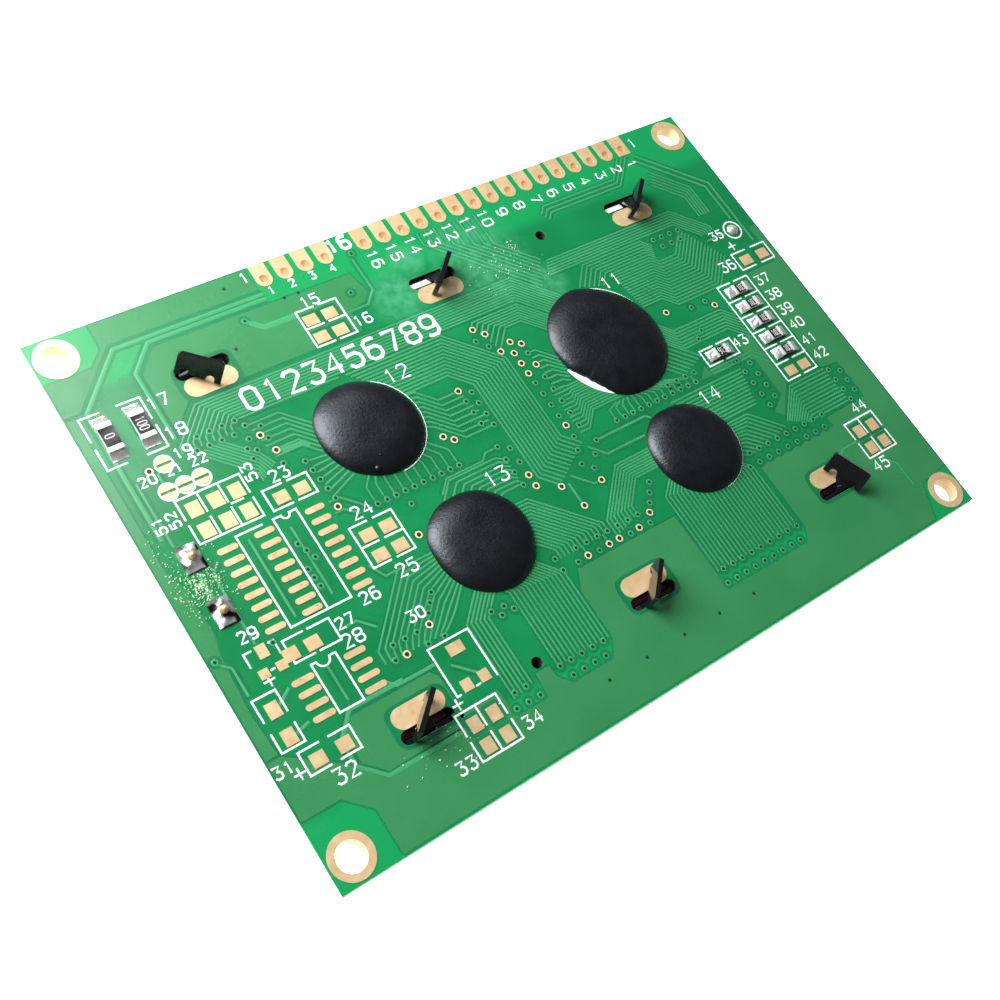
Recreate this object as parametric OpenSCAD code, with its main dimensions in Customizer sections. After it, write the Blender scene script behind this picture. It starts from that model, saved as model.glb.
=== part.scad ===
// Character LCD module, 16 columns by 4 rows, lying on the flat front of its bezel.
// X runs along the board towards pin 1 of the long row, Y towards the edge that holds
// the connector rows, Z out of the board's back. Z = 0 is the bezel's front face.

/* [Circuit board] */
// Length of the board
board_l = 87; // [84:0.5:95]
// Width of the board
board_w = 60; // [58:0.5:66]
// Thickness of the board
board_t = 1.6; // [1:0.1:2.4]
// Thickness of the gilded copper on the board
foil_t = 0.05; // [0.03:0.01:0.1]
// Thickness of the white ink printed on the board
ink_t = 0.02; // [0.01:0.01:0.04]
// Width of the printed lines
ink_w = 0.2; // [0.15:0.01:0.3]

/* [Mounting holes] */
// Distance of the mounting holes' middles from the board's edges
hole_inset = 2.5; // [2.5:0.1:3.5]
// Bore of a mounting hole
hole_d = 3; // [2.5:0.1:3.3]
// Diameter of the gilded ring round a mounting hole
ring_d = 4.5; // [4:0.1:4.8]

/* [Connector rows] */
// Pitch of the solder pads in both rows
pin_pitch = 2.54; // [2:0.01:2.54]
// Number of pads in the long row
row_pins = 16; // [8:1:16]
// Number of pads in the short row
bus_pins = 4; // [2:1:4]
// Distance of pin 1 of the long row from the middle of the board
row_x = 33.4; // [32:0.1:34]
// Distance of the short row's last pad from the middle of the board
bus_x = 9.75; // [9.5:0.05:10.5]
// Distance from the board's edge to the middle of the pin holes
pin_inset = 2; // [1.6:0.1:2.2]
// Bore of a pin hole
pin_d = 1; // [0.8:0.05:1.1]
// Width of a pin's pad
pin_pad_w = 1.85; // [1.6:0.05:1.9]

/* [Bezel] */
// Length of the bezel
bezel_l = 71; // [70:0.2:72]
// Width of the bezel
bezel_w = 43.4; // [43:0.1:44]
// Thickness of the bezel's steel sheet
sheet_t = 0.5; // [0.3:0.05:0.6]
// Inside radius of the bezel's folds
fold_r = 0.3; // [0.1:0.05:0.4]
// Length of the viewing window
window_l = 62; // [56:0.5:64]
// Width of the viewing window
window_w = 26; // [20:0.5:28]
// Radius of the window's corners
window_r = 0.5; // [0.2:0.1:2]
// Slit left open at each corner where two skirts meet
corner_slit = 0.5; // [0.2:0.1:1]

/* [Bezel tabs] */
// Distance of the outer tabs from the middle of the bezel
tab_x = 28.5; // [24:0.5:29]
// Width of a tab's head
tab_w = 4.7; // [4:0.1:5.2]
// Width of a tab's root, which stands in the slot
root_w = 5; // [4:0.1:5.2]
// Height of a tab's root over the board's front
root_h = 1.2; // [0.8:0.1:1.4]
// Width of a tab's neck
neck_w = 1.6; // [1.4:0.1:2]
// Radius of the notches on either side of the neck
notch_r = 0.45; // [0.3:0.05:0.5]
// Depth of the hooks that the head's ends hang down
hook_h = 0.3; // [0.1:0.05:0.4]
// Height of the tabs over the board
tab_h = 2.7; // [2:0.1:3.5]
// Gap between a tab's hooks and the pad under them
tab_lift = 0.15; // [0.1:0.05:0.3]
// Radius of the corners on a tab's head
tab_corner = 0.35; // [0.1:0.05:0.8]
// Length of the slot that a tab comes through
slot_l = 6; // [5.5:0.1:7]
// Width of the slot that a tab comes through
slot_w = 1.4; // [1.3:0.05:1.8]
// Gap between the bezel's skirt and the slot's outer side
slot_gap = 0.1; // [0.05:0.05:0.2]
// Length of the gilded pad beside a slot
tab_pad_l = 5.8; // [5:0.1:7]
// Width of the gilded pad beside a slot
tab_pad_w = 2.2; // [1.6:0.1:2.6]
// Bore of the two inspection holes over the skirt
peep_d = 1.2; // [0.8:0.1:1.3]
// Distance of the inspection holes from the middle of the board
peep_x = 15.5; // [10:0.5:20]

/* [Glass and films] */
// Thickness of each polarising film
polariser_t = 0.2; // [0.1:0.05:0.3]
// Thickness of each glass plate
glass_t = 1.1; // [0.7:0.1:1.3]
// Gap all round between the front glass and the bezel
glass_gap = 0.6; // [0.3:0.1:1]
// Width of the bare ledge on the front glass's upper and lower edges
ledge_w = 3.4; // [3:0.1:3.8]
// Margin of the polarisers round the window
polariser_margin = 1.5; // [0.5:0.1:2.5]
// Thickness of the diffusing film and of the reflecting film
film_t = 0.2; // [0.1:0.05:0.3]

/* [Contact strips] */
// Length of each rubber contact strip
strip_l = 64; // [58:0.5:65]
// Thickness of each rubber contact strip
strip_w = 2; // [1.6:0.1:2.2]
// Gap between the rear glass and the upper contact strip
strip_gap = 0.3; // [0.2:0.05:0.5]

/* [Backlight] */
// Thickness of the light guide
guide_t = 3; // [2:0.1:4]
// Width of the light guide
guide_w = 31; // [27:0.5:32]
// Floor of the backlight frame behind the light guide
frame_floor = 2.1; // [1.6:0.1:3]
// End walls of the backlight frame
frame_wall = 0.6; // [0.4:0.1:1]
// Play of a lamp lead in its plated hole
lead_play = 0.1; // [0.05:0.01:0.2]
// Gap between the backlight frame and the pieces in it
frame_gap = 0.1; // [0.05:0.05:0.3]
// Distance that the lamp housing stands out of the bezel
nose_out = 5.7; // [5:0.1:6.2]
// Width of the lamp housing
nose_w = 11.6; // [10:0.1:13]
// Height of the lamp housing
nose_h = 5.4; // [4.8:0.1:6]
// Wall of the lamp housing
nose_wall = 0.6; // [0.4:0.1:0.8]
// Distance between the two lamp leads
lead_span = 6; // [5:0.1:7]
// Diameter of a lamp lead
lead_d = 0.7; // [0.5:0.05:0.8]
// Distance of the lamp leads from the lamp housing's outer end
lead_inset = 1.55; // [1.3:0.05:2]
// Height of the lamp leads over the board
lead_h = 0.9; // [0.6:0.1:1.4]

/* [Chip covers] */
// Height of the resin domes over the four chips
dome_h = 1.5; // [1.2:0.1:2]
// Diameter of the largest dome
dome_1_d = 14.1; // [12:0.1:15]
// Diameter of the other three domes
dome_d = 11.4; // [10:0.1:12]

/* [Chip resistors] */
// Length of the five ladder resistors and the timing resistor
chip_l = 2; // [1.8:0.1:2.2]
// Width of those resistors
chip_w = 1.25; // [1:0.05:1.4]
// Height of those resistors
chip_h = 0.5; // [0.4:0.05:0.7]
// Length of the two lamp resistors
lamp_chip_l = 3.2; // [3:0.1:3.4]
// Width of the two lamp resistors
lamp_chip_w = 1.6; // [1.4:0.05:1.8]
// Height of the two lamp resistors
lamp_chip_h = 0.55; // [0.4:0.05:0.8]
// Length of the metal cap on a resistor's end
cap_l = 0.4; // [0.3:0.05:0.5]
// Distance that the solder spreads past a resistor's end
solder_l = 0.45; // [0.3:0.05:0.55]

/* [Hidden] */

$fn = 48;
over = 0.1;                // how far a cutter passes the face that it cuts

// Heights of the stack, from the bezel's front face to the board's back
front_pol_z = sheet_t;
front_glass_z = front_pol_z + polariser_t;
rear_glass_z = front_glass_z + glass_t;
rear_pol_z = rear_glass_z + glass_t;
diffuser_z = rear_pol_z + polariser_t;
guide_z = diffuser_z + film_t;
reflector_z = guide_z + guide_t;
floor_z = reflector_z + film_t;
board_z = floor_z + frame_floor;
top_z = board_z + board_t;
part_z = top_z + foil_t;

// Bezel, its slots and its pads
skirt_in_x = bezel_l / 2 - sheet_t;
skirt_in_y = bezel_w / 2 - sheet_t;
skirt_mid_y = bezel_w / 2 - sheet_t / 2;
fold_out = fold_r + sheet_t;
slot_y = bezel_w / 2 + slot_gap - slot_w / 2;
tab_pad_y = slot_y - slot_w / 2 - tab_pad_w / 2;

// Each tab: side of the bezel, place along it, turn, slide along and push towards the
// middle as it was twisted, and how far its head leans
tabs = [
    [ 1, -tab_x, -41, -1.15, 1.25,  22],
    [ 1,      0,  42,  0.5,  0.9,    0],
    [ 1,  tab_x,  43,  0.8,  1.0,    0],
    [-1, -tab_x,  41, -0.35, 1.3,    0],
    [-1,      0,  45,  0.0,  1.15,   0],
    [-1,  tab_x, -63,  0.65, 0.95, -30]];

neck_bite = 0.15;          // how far the neck runs into what it joins
neck_inset = 0.02;         // how far the neck's faces lie inside the sheet's there

// Glass and backlight
glass_l = bezel_l - 2 * (sheet_t + glass_gap);
glass_w = bezel_w - 2 * (sheet_t + glass_gap / 2);
rear_glass_w = glass_w - 2 * ledge_w;
polariser_l = window_l + 2 * polariser_margin;
polariser_w = window_w + 2 * polariser_margin;
frame_l = bezel_l - 2 * (sheet_t + frame_gap * 2);
frame_w = bezel_w - 2 * (sheet_t + frame_gap);
upper_strip_y = rear_glass_w / 2 + strip_gap + strip_w / 2;
lower_strip_y = -(glass_w - strip_w) / 2;
guide_l = frame_l - 2 * (frame_wall + frame_gap);
nose_x = -bezel_l / 2 - nose_out;
nose_y = 0.3;              // middle of the lamp housing
nose_z = board_z - nose_h;
nose_gap = 0.3;            // gap between the lamp housing and the bezel's notch
lead_x = nose_x + lead_inset;
lamp_board_t = 0.8;
lamp_size = [1.2, 2.8, 1.4];
lamp_count = 3;
lamp_pitch = 3.4;
lamp_gap = 0.2;            // gap between the lamps and the light guide's edge
lead_land = [2.05, 2.7];   // gilded land round a lamp lead

// Middles of the domes
dome_1 = [14.3, 6.1];
dome_2 = [-16.5, 8];
dome_3 = [15.4, -9.3];
dome_4 = [-12.9, -7.9];

// Resistors
ladder_x = 34.55;
ladder_y = 5.1;
ladder_pitch = 2.3;
timing_at = [26.4, -0.9];
chip_sites = concat([for (i = [0 : 4]) [ladder_x, ladder_y - i * ladder_pitch]], [timing_at]);
cap_step = 0.03;           // how far a resistor's metal caps stand proud of its body
solder_foot = 0.05;        // thickness of the solder where it runs out
lamp_chips = [[-40.5, 17.6], [-37.1, 17.6]];
chip_land = [1.5, 1.2];    // gilded land under the end of a small resistor
chip_land_span = 2.2;
lamp_chip_land = [1.6, 1.4];
lamp_chip_land_span = 3.5;

// Bare part sites along X: middle, pad width, pad height and distance between pad middles
row_sites = [
    [[-27.6, 5.1], 1.5, 1.3, 2.3], [[-35, -9.15], 1.55, 1.3, 2.4],
    [[-14.25, 21.6], 1.6, 1.3, 2.3], [[-14.25, 19.35], 1.6, 1.3, 2.3],
    [[-22.05, -2.15], 1.6, 1.3, 2.3], [[-22.05, -4.5], 1.6, 1.3, 2.3],
    [[39.95, 8.15], 1.6, 1.3, 2.7], [[ladder_x, -6.6], 1.5, 1.2, 2.2],
    [[-37.65, -18.75], 1.5, 1.35, 2.8]];
// Bare part sites along Y: middle, pad width, pad height and distance between pad middles
column_sites = [
    [[-36.9, 6.4], 1.4, 1.6, 2.4], [[-34.6, 6.4], 1.4, 1.6, 2.4], [[-32.35, 6.4], 1.4, 1.6, 2.4],
    [[-40.3, -14.35], 1.3, 1.55, 2.8],
    [[-24.5, -24.3], 1.3, 1.5, 2.3], [[-22.2, -24.3], 1.3, 1.5, 2.3],
    [[36, -17.9], 1.3, 1.45, 2.3], [[38.25, -17.9], 1.3, 1.45, 2.3]];
// Single pads: middle and size
single_pads = [
    [-38.4, -7.65, 1.05, 1.35], [-39.3, -9.65, 1, 0.95], [-37.45, -9.65, 1, 0.95],
    [-21.95, -16, 1.75, 1.2], [-23, -19.6, 1.15, 1.2], [-20.95, -19.6, 1.15, 1.2]];
// Columns of round-ended pads: x, y of the first, number and length
pin_columns = [
    [-36.15, 2.6, 8, 2.15], [-32.15, 2.6, 8, 2.15], [-26.5, 2.6, 8, 2.15],
    [-36.5, -11.8, 4, 2.35], [-30.85, -11.8, 4, 2.35]];
column_pitch = 1.27;
column_pad_w = 0.62;
jumper_sites = [[-37.15, 13.05], [-38.2, 10.25], [-36.4, 10.25], [-34.6, 10.3]];
jumper_r = 0.75;
jumper_gap = 0.3;
jumper_dome = [39.8, 12.45];
jumper_rise = 0.45;        // height of the drop of solder on the bridged pad
lead_solder_h = 0.7;       // height of the cones of solder round the lamp leads
lead_solder_gap = 0.02;    // play left between a lead and its solder

// Printed frames of parts whose two lands lie side by side: low corner, high corner, the
// gap in the lines along X, and the heights of those lines between the outer two
side_frames = [
    [[-30.2, 4.1], [-25.2, 6.45], [-28.05, -27.35], []],
    [[-36.3, -10.1], [-31.25, -7.7], [-34.15, -33.55], []],
    [[-40.45, -19.75], [-35, -17.4], [-38.3, -37.2], []],
    [[37.1, 7.1], [42.6, 9.5], [39.3, 40.4], []],
    [[24, -1.95], [28.85, 0.2], [26.05, 26.75], []],
    [[-16.5, 18.4], [-11.55, 23], [-14.35, -13.65], [20.75]],
    [[-24.6, -5.4], [-19.65, -0.75], [-22.6, -21.8], [-3.1]],
    [[32.05, -7.6], [37, 6.35], [34.1, 34.85], [4, 1.65, -0.65, -2.95, -5.25]]];
// The same for lands one above the other: the gap is in the lines along Y
upright_frames = [
    [[-41.65, -16.75], [-39.2, -11.35], [-14.85, -13.55], []],
    [[-25.85, -26.5], [-21.05, -21.6], [-24.45, -23.7], [-23.5]],
    [[34.75, -20.05], [39.4, -15.25], [-18, -17.3], [36.95]],
    [[-38.2, 4.15], [-31.25, 9.1], [6.25, 6.95], [-35.9, -33.65]]];
// Other printed strokes, from point to point
strokes = [
    [[-42.2, 17.95], [-42.2, 20.55], [-40.1, 20.55]], [[-42.2, 17], [-42.2, 14.6], [-40.2, 14.6]],
    [[-38.2, 20.55], [-35.8, 20.55], [-35.8, 18]], [[-35.8, 17.1], [-35.8, 14.6], [-38, 14.6]],
    [[-32, 3.4], [-34.85, 3.4], [-34.85, -6.9], [-28.15, -6.9], [-28.15, 3.4], [-28.95, 3.4]],
    [[-29.85, 3.4], [-30.75, 3.4], [-30.75, -6.9]],
    [[-34.6, -10.9], [-35.1, -10.9], [-35.1, -16.05], [-32.45, -16.05], [-32.45, -10.9],
     [-33.1, -10.9]],
    [[-24.1, -20.15], [-24.5, -20.15], [-24.5, -14.9], [-19.75, -14.9], [-19.75, -20.15]],
    [[-22.15, -20.1], [-21.75, -20.1]], [[-38.55, -9.6], [-38.2, -9.6]],
    [[-33.4, 6.6], [-32.2, 6.6]], [[-40.1, -8.55], [-40.1, -7.2], [-39.35, -7.2]],
    [[-37.45, -7.2], [-36.95, -7.2], [-36.95, -8.55]]];
// Half rings that mark a chip's first pin: middle and radius
notches = [[-29.4, 3.4, 0.45], [-33.85, -10.9, 0.7]];
// Whole rings: middle and radius
rings = concat([for (p = jumper_sites) [p[0], p[1], 0.9]], [[jumper_dome[0], jumper_dome[1], 1.2]]);
// Plus signs: middle
plus_signs = [[-39.2, -10.4], [-41.2, -19.1], [-24.9, -20.8], [38.1, 10.5]];
plus_size = 1;
// Ring printed round the largest dome: middle, radius and width
dome_ring = [14.18, 6.01, 7.05, 0.5];
// Stretches of ring that the other domes leave bare: middle, radius, width and direction
dome_arcs = [[-16.34, 7.93, 5.6, 0.25, -23], [15.56, -9.36, 5.6, 0.25, -10],
             [-12.79, -7.94, 5.57, 0.25, -25]];
dome_arc_from = 2.2;       // distance of an arc's ends from the ring's middle, along its direction

// Flat bar with round ends, lying along X
module oblong(length, width) {
    square([length - width, width], center = true);
    for (s = [-1, 1]) translate([s * (length - width) / 2, 0]) circle(d = width);
}

// Plate of the gilded foil on the board's back, from a flat outline
module foil() {
    translate([0, 0, top_z]) linear_extrude(foil_t) children();
}

// Box by its middle in X and Y and its lower face
module block(middle, size) {
    translate([middle[0] - size[0] / 2, middle[1] - size[1] / 2, middle[2]]) cube(size);
}

module at_mounting_holes() {
    for (sx = [-1, 1], sy = [-1, 1])
        translate([sx * (board_l / 2 - hole_inset), sy * (board_w / 2 - hole_inset), 0]) children();
}

module at_row_pin(i) {
    translate([row_x - i * pin_pitch, board_w / 2 - pin_inset, 0]) children();
}

module at_bus_pins() {
    for (i = [0 : bus_pins - 1])
        translate([-bus_x - i * pin_pitch, board_w / 2 - pin_inset, 0]) children();
}

module at_lamp_leads() {
    for (s = [-1, 1]) translate([lead_x, nose_y + s * lead_span / 2, 0]) children();
}

module board_bore(diameter) {
    translate([0, 0, board_z - over]) cylinder(d = diameter, h = board_t + 2 * over);
}

module circuit_board() {
    color("seagreen") difference() {
        block([0, 0, board_z], [board_l, board_w, board_t]);
        at_mounting_holes() board_bore(hole_d + 2 * foil_t);
        for (i = [0 : row_pins - 1]) at_row_pin(i) board_bore(pin_d + 2 * foil_t);
        at_bus_pins() board_bore(pin_d + 2 * foil_t);
        at_lamp_leads() board_bore(lead_d + lead_play + 2 * foil_t);
        for (t = tabs)
            translate([t[1], t[0] * slot_y, board_z - over])
                linear_extrude(board_t + 2 * over) oblong(slot_l, slot_w);
        for (s = [-1, 1]) translate([s * peep_x, s * slot_y, 0]) board_bore(peep_d);
    }
}

// Plated hole: a land on the board's back, and on its front unless something lies flat
// against it there, joined to the lining of the bore
module plated_hole(bore, front_land = true) {
    low = front_land ? board_z - foil_t : board_z;
    difference() {
        union() {
            foil() children();
            if (front_land) translate([0, 0, low]) linear_extrude(foil_t) children();
            translate([0, 0, low]) cylinder(d = bore + 2 * foil_t, h = part_z - low);
        }
        board_bore(bore);
    }
}

module mounting_rings() {
    color("gold") at_mounting_holes() plated_hole(hole_d) circle(d = ring_d);
}

// Land of a connector pin: from the board's edge to just past the hole
module pin_land(square_end) {
    translate([-pin_pad_w / 2, 0]) square([pin_pad_w, pin_inset]);
    if (square_end) square(pin_pad_w, center = true);
    else circle(d = pin_pad_w);
}

// Pin 1 of the long row is marked by its land's square end
module row_pads() {
    color("gold") for (i = [0 : row_pins - 1]) at_row_pin(i) plated_hole(pin_d) pin_land(i == 0);
}

module bus_pads() {
    color("gold") at_bus_pins() plated_hole(pin_d) pin_land(false);
}

module tab_pads() {
    color("gold") foil()
        for (t = tabs) translate([t[1], t[0] * tab_pad_y]) oblong(tab_pad_l, tab_pad_w);
}

// Two lands, on either side of a part's middle
module land_pair(size, span, upright = false) {
    for (s = [-1, 1])
        translate(upright ? [0, s * span / 2] : [s * span / 2, 0]) square(size, center = true);
}

module part_lands() {
    for (p = row_sites) translate(p[0]) land_pair([p[1], p[2]], p[3]);
    for (p = column_sites) translate(p[0]) land_pair([p[1], p[2]], p[3], true);
    for (p = single_pads) translate([p[0], p[1]]) square([p[2], p[3]], center = true);
    for (p = pin_columns, i = [0 : p[2] - 1])
        translate([p[0], p[1] - i * column_pitch]) oblong(p[3], column_pad_w);
    for (p = chip_sites) translate(p) land_pair(chip_land, chip_land_span);
    for (p = lamp_chips) translate(p) land_pair(lamp_chip_land, lamp_chip_land_span, true);
}

module part_pads() {
    color("gold") {
        foil() part_lands();
        at_lamp_leads() plated_hole(lead_d + lead_play, false) square(lead_land, center = true);
    }
}

// Round pads that a drop of solder can bridge, and the round pad of the bridged one
module jumper_pads() {
    color("gold") foil() {
        for (p = jumper_sites) translate(p) difference() {
            circle(jumper_r);
            square([2 * jumper_r + over, jumper_gap], center = true);
        }
        translate(jumper_dome) circle(jumper_r);
    }
}

module stroke(a, b) {
    d = b - a;
    translate(a) rotate(atan2(d[1], d[0]))
        translate([-ink_w / 2, -ink_w / 2]) square([norm(d) + ink_w, ink_w]);
}

// Frame with a gap in each of its lines along X
module split_frame(low, high, gap, between) {
    for (x = [low[0], high[0]]) stroke([x, low[1]], [x, high[1]]);
    for (y = concat([low[1], high[1]], between)) {
        stroke([low[0], y], [gap[0], y]);
        stroke([gap[1], y], [high[0], y]);
    }
}

module ring(radius, width) {
    difference() {
        circle(radius + width / 2);
        circle(radius - width / 2);
    }
}

module print_outline() {
    for (f = side_frames) split_frame(f[0], f[1], f[2], f[3]);
    // Turned frames are drawn on their side and then set upright
    for (f = upright_frames) mirror([1, -1, 0])
        split_frame([f[0][1], f[0][0]], [f[1][1], f[1][0]], f[2], f[3]);
    for (s = strokes, i = [1 : len(s) - 1]) stroke(s[i - 1], s[i]);
    for (n = notches) translate([n[0], n[1]]) intersection() {
        ring(n[2], ink_w);
        translate([-2 * n[2], -2 * n[2]]) square([4 * n[2], 2 * n[2]]);
    }
    for (r = rings) translate([r[0], r[1]]) ring(r[2], ink_w);
    for (p = plus_signs) {
        stroke(p - [plus_size / 2, 0], p + [plus_size / 2, 0]);
        stroke(p - [0, plus_size / 2], p + [0, plus_size / 2]);
    }
    translate([dome_ring[0], dome_ring[1]]) ring(dome_ring[2], dome_ring[3]);
    for (r = dome_arcs) translate([r[0], r[1]]) rotate(r[4]) intersection() {
        ring(r[2], r[3]);
        translate([dome_arc_from, -2 * r[2]]) square([2 * r[2], 4 * r[2]]);
    }
}

// The ink stops at the gilded lands and at the domes
module printed_lines() {
    color("white") translate([0, 0, top_z]) linear_extrude(ink_t) difference() {
        print_outline();
        part_lands();
        translate(dome_1) circle(d = dome_1_d);
        for (p = [dome_2, dome_3, dome_4]) translate(p) circle(d = dome_d);
    }
}

// Section of a fold and the skirt that rises from it, outer face at x = 0
module fold_section() {
    intersection() {
        translate([-fold_out, 0]) square(fold_out);
        translate([-fold_out, fold_out]) difference() {
            circle(fold_out);
            circle(fold_r);
        }
    }
    translate([-sheet_t, fold_out]) square([sheet_t, board_z - fold_out]);
}

// Skirt along X at the upper side, and skirt along Y at the right
module long_skirt() {
    translate([0, bezel_w / 2, 0]) rotate([90, 0, 90])
        linear_extrude(bezel_l - 2 * (fold_out + corner_slit), center = true) fold_section();
}

module short_skirt() {
    translate([bezel_l / 2, 0, 0]) rotate([90, 0, 0])
        linear_extrude(bezel_w - 2 * (fold_out + corner_slit), center = true) fold_section();
}

module window_outline() {
    for (sx = [-1, 1], sy = [-1, 1])
        translate([sx * (window_l / 2 - window_r), sy * (window_w / 2 - window_r)]) circle(window_r);
    square([window_l - 2 * window_r, window_w], center = true);
    square([window_l, window_w - 2 * window_r], center = true);
}

module bezel_face() {
    difference() {
        block([0, 0, 0], [bezel_l - 2 * fold_out, bezel_w - 2 * fold_out, sheet_t]);
        translate([0, 0, -over]) linear_extrude(sheet_t + 2 * over) window_outline();
    }
}

// Height at which a tab's neck meets its head, set by the hooks of the leaning head
function shoulder_z(t) =
    part_z + tab_lift + hook_h * cos(t[5]) + sheet_t / 2 * sin(abs(t[5]));

// Share of a tab's turn and push at a share of its neck's rise: late enough that the
// neck clears the slot and the pad, and upright again where it meets the head
function sweep(part) = let (late = pow(part, 1.4)) late * late * (3 - 2 * late);

// Neck of a tab: four corners of the sheet at each height. It leaves the root upright,
// turns and moves over in one smooth sweep, and runs a little way up into its head
module twisted_neck(t) {
    bottom = board_z + root_h;
    rise = shoulder_z(t) - bottom;
    steps = 8;
    // Each section: height, share of the turn, lean, and how far up the head it lies
    sections = concat([[bottom - neck_bite, 0, 0, 0]],
        [for (i = [1 : steps - 1]) [bottom + rise * i / steps, sweep(i / steps), 0, 0]],
        [for (up = [neck_inset, neck_bite]) [bottom + rise, 1, t[0] * t[5], up]]);
    half = [neck_w / 2 - neck_inset, sheet_t / 2 - neck_inset];
    points = [for (k = sections, c = [[-1, -1], [1, -1], [1, 1], [-1, 1]])
        let (turn = t[2] * k[1], u = c[0] * half[0],
             v = k[3] * sin(k[2]) + c[1] * half[1] * cos(k[2]))
        [t[1] + t[3] * (1 + k[1]) / 2 + u * cos(turn) - v * sin(turn),
         t[0] * (skirt_mid_y - t[4] * k[1]) + u * sin(turn) + v * cos(turn),
         k[0] + k[3] * cos(k[2]) - c[1] * half[1] * sin(k[2])]];
    last = 4 * (len(sections) - 1);
    faces = concat([[0, 1, 2, 3]], [[last + 3, last + 2, last + 1, last]],
        [for (k = [0 : len(sections) - 2], c = [0 : 3])
            each [[4 * k + c, 4 * k + 4 + c, 4 * k + 4 + (c + 1) % 4],
                  [4 * k + c, 4 * k + 4 + (c + 1) % 4, 4 * k + (c + 1) % 4]]]);
    polyhedron(points, faces);
}

// Flat head with round upper corners, hooked ends and a round notch on each side of
// the neck
module head_outline() {
    top = tab_h - foil_t - tab_lift - hook_h;
    flat = tab_w / 2 - tab_corner;
    difference() {
        union() {
            translate([-tab_w / 2, -hook_h]) square([tab_w, top + hook_h - tab_corner]);
            translate([-flat, 0]) square([2 * flat, top]);
            for (s = [-1, 1]) translate([s * flat, top - tab_corner]) circle(tab_corner);
        }
        translate([-neck_w / 2 - 2 * notch_r, -hook_h - over])
            square([neck_w + 4 * notch_r, hook_h + over]);
        for (s = [-1, 1]) translate([s * (neck_w / 2 + notch_r), 0]) circle(notch_r);
    }
}

module tab_head(t) {
    translate([t[1] + t[3], t[0] * (skirt_mid_y - t[4]), shoulder_z(t)])
        rotate([0, 0, t[2]]) rotate([90 - t[0] * t[5], 0, 0])
            linear_extrude(sheet_t, center = true) head_outline();
}

module bezel() {
    color("black") {
        difference() {
            union() {
                bezel_face();
                long_skirt();
                mirror([0, 1, 0]) long_skirt();
                short_skirt();
                mirror([1, 0, 0]) short_skirt();
            }
            block([-bezel_l / 2, nose_y, nose_z - nose_gap],
                  [2 * fold_out, nose_w + 2 * nose_gap, nose_h + nose_gap + over]);
        }
        for (t = tabs) {
            block([t[1], t[0] * skirt_mid_y, board_z], [root_w, sheet_t, root_h]);
            twisted_neck(t);
            tab_head(t);
        }
    }
}

module front_polariser() {
    color("darkslateblue") block([0, 0, front_pol_z], [polariser_l, polariser_w, polariser_t]);
}

module front_glass() {
    color("lightblue") block([0, 0, front_glass_z], [glass_l, glass_w, glass_t]);
}

module rear_glass() {
    color("lightblue") block([0, 0, rear_glass_z], [glass_l, rear_glass_w, glass_t]);
}

module rear_polariser() {
    color("darkslateblue") block([0, 0, rear_pol_z], [polariser_l, polariser_w, polariser_t]);
}

// The rubber strips stand on the front glass's ledges and press on the board
module contact_strip(y) {
    color("pink") block([0, y, rear_glass_z], [strip_l, strip_w, board_z - rear_glass_z]);
}

module upper_contact_strip() {
    contact_strip(upper_strip_y);
}

module lower_contact_strip() {
    contact_strip(lower_strip_y);
}

module diffuser_film() {
    color("white") block([0, 0, diffuser_z], [guide_l, guide_w, film_t]);
}

module light_guide() {
    color("aliceblue") block([0, 0, guide_z], [guide_l, guide_w, guide_t]);
}

module reflector_film() {
    color("silver") block([0, 0, reflector_z], [guide_l, guide_w, film_t]);
}

// White moulding that holds the light guide, keeps the strips upright and, in the
// nose that stands out through the bezel, houses the lamps
module backlight_frame() {
    pocket_h = board_z - rear_pol_z + 2 * over;
    color("white") difference() {
        union() {
            block([0, 0, rear_pol_z], [frame_l, frame_w, board_z - rear_pol_z]);
            translate([nose_x, nose_y - nose_w / 2, nose_z])
                cube([-nose_x - frame_l / 2 + frame_wall, nose_w, nose_h]);
        }
        block([0, 0, rear_pol_z - over],
              [polariser_l + 2 * frame_gap, polariser_w + 2 * frame_gap, polariser_t + over]);
        block([0, 0, rear_pol_z - over],
              [guide_l + 2 * frame_gap, guide_w + 2 * frame_gap, floor_z - rear_pol_z + over]);
        block([0, upper_strip_y, rear_pol_z - over],
              [strip_l + 2 * frame_gap, strip_w + 2 * frame_gap, pocket_h]);
        block([0, lower_strip_y - strip_w / 2, rear_pol_z - over],
              [strip_l + 2 * frame_gap, 2 * (strip_w + frame_gap), pocket_h]);
        translate([nose_x + nose_wall, nose_y - nose_w / 2 + nose_wall, rear_pol_z - over])
            cube([-nose_x - nose_wall - guide_l / 2, nose_w - 2 * nose_wall, floor_z - rear_pol_z + over]);
        at_lamp_leads() translate([0, 0, floor_z - over])
            cylinder(d = lead_d + 2 * frame_gap, h = frame_floor + 2 * over);
    }
}

// Strip of circuit board that closes the lamp housing from the front
module lamp_board() {
    x_from = nose_x + nose_wall + frame_gap;
    x_to = -guide_l / 2 - frame_gap;
    color("ivory") difference() {
        translate([x_from, nose_y - nose_w / 2 + nose_wall + frame_gap, nose_z])
            cube([x_to - x_from, nose_w - 2 * (nose_wall + frame_gap), lamp_board_t]);
        at_lamp_leads() translate([0, 0, nose_z - over])
            cylinder(d = lead_d + lead_play, h = lamp_board_t + 2 * over);
    }
}

module lamps() {
    color("yellow") for (i = [0 : lamp_count - 1])
        block([-guide_l / 2 - lamp_gap - lamp_size[0] / 2,
               nose_y + (i - (lamp_count - 1) / 2) * lamp_pitch, nose_z + lamp_board_t], lamp_size);
}

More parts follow.
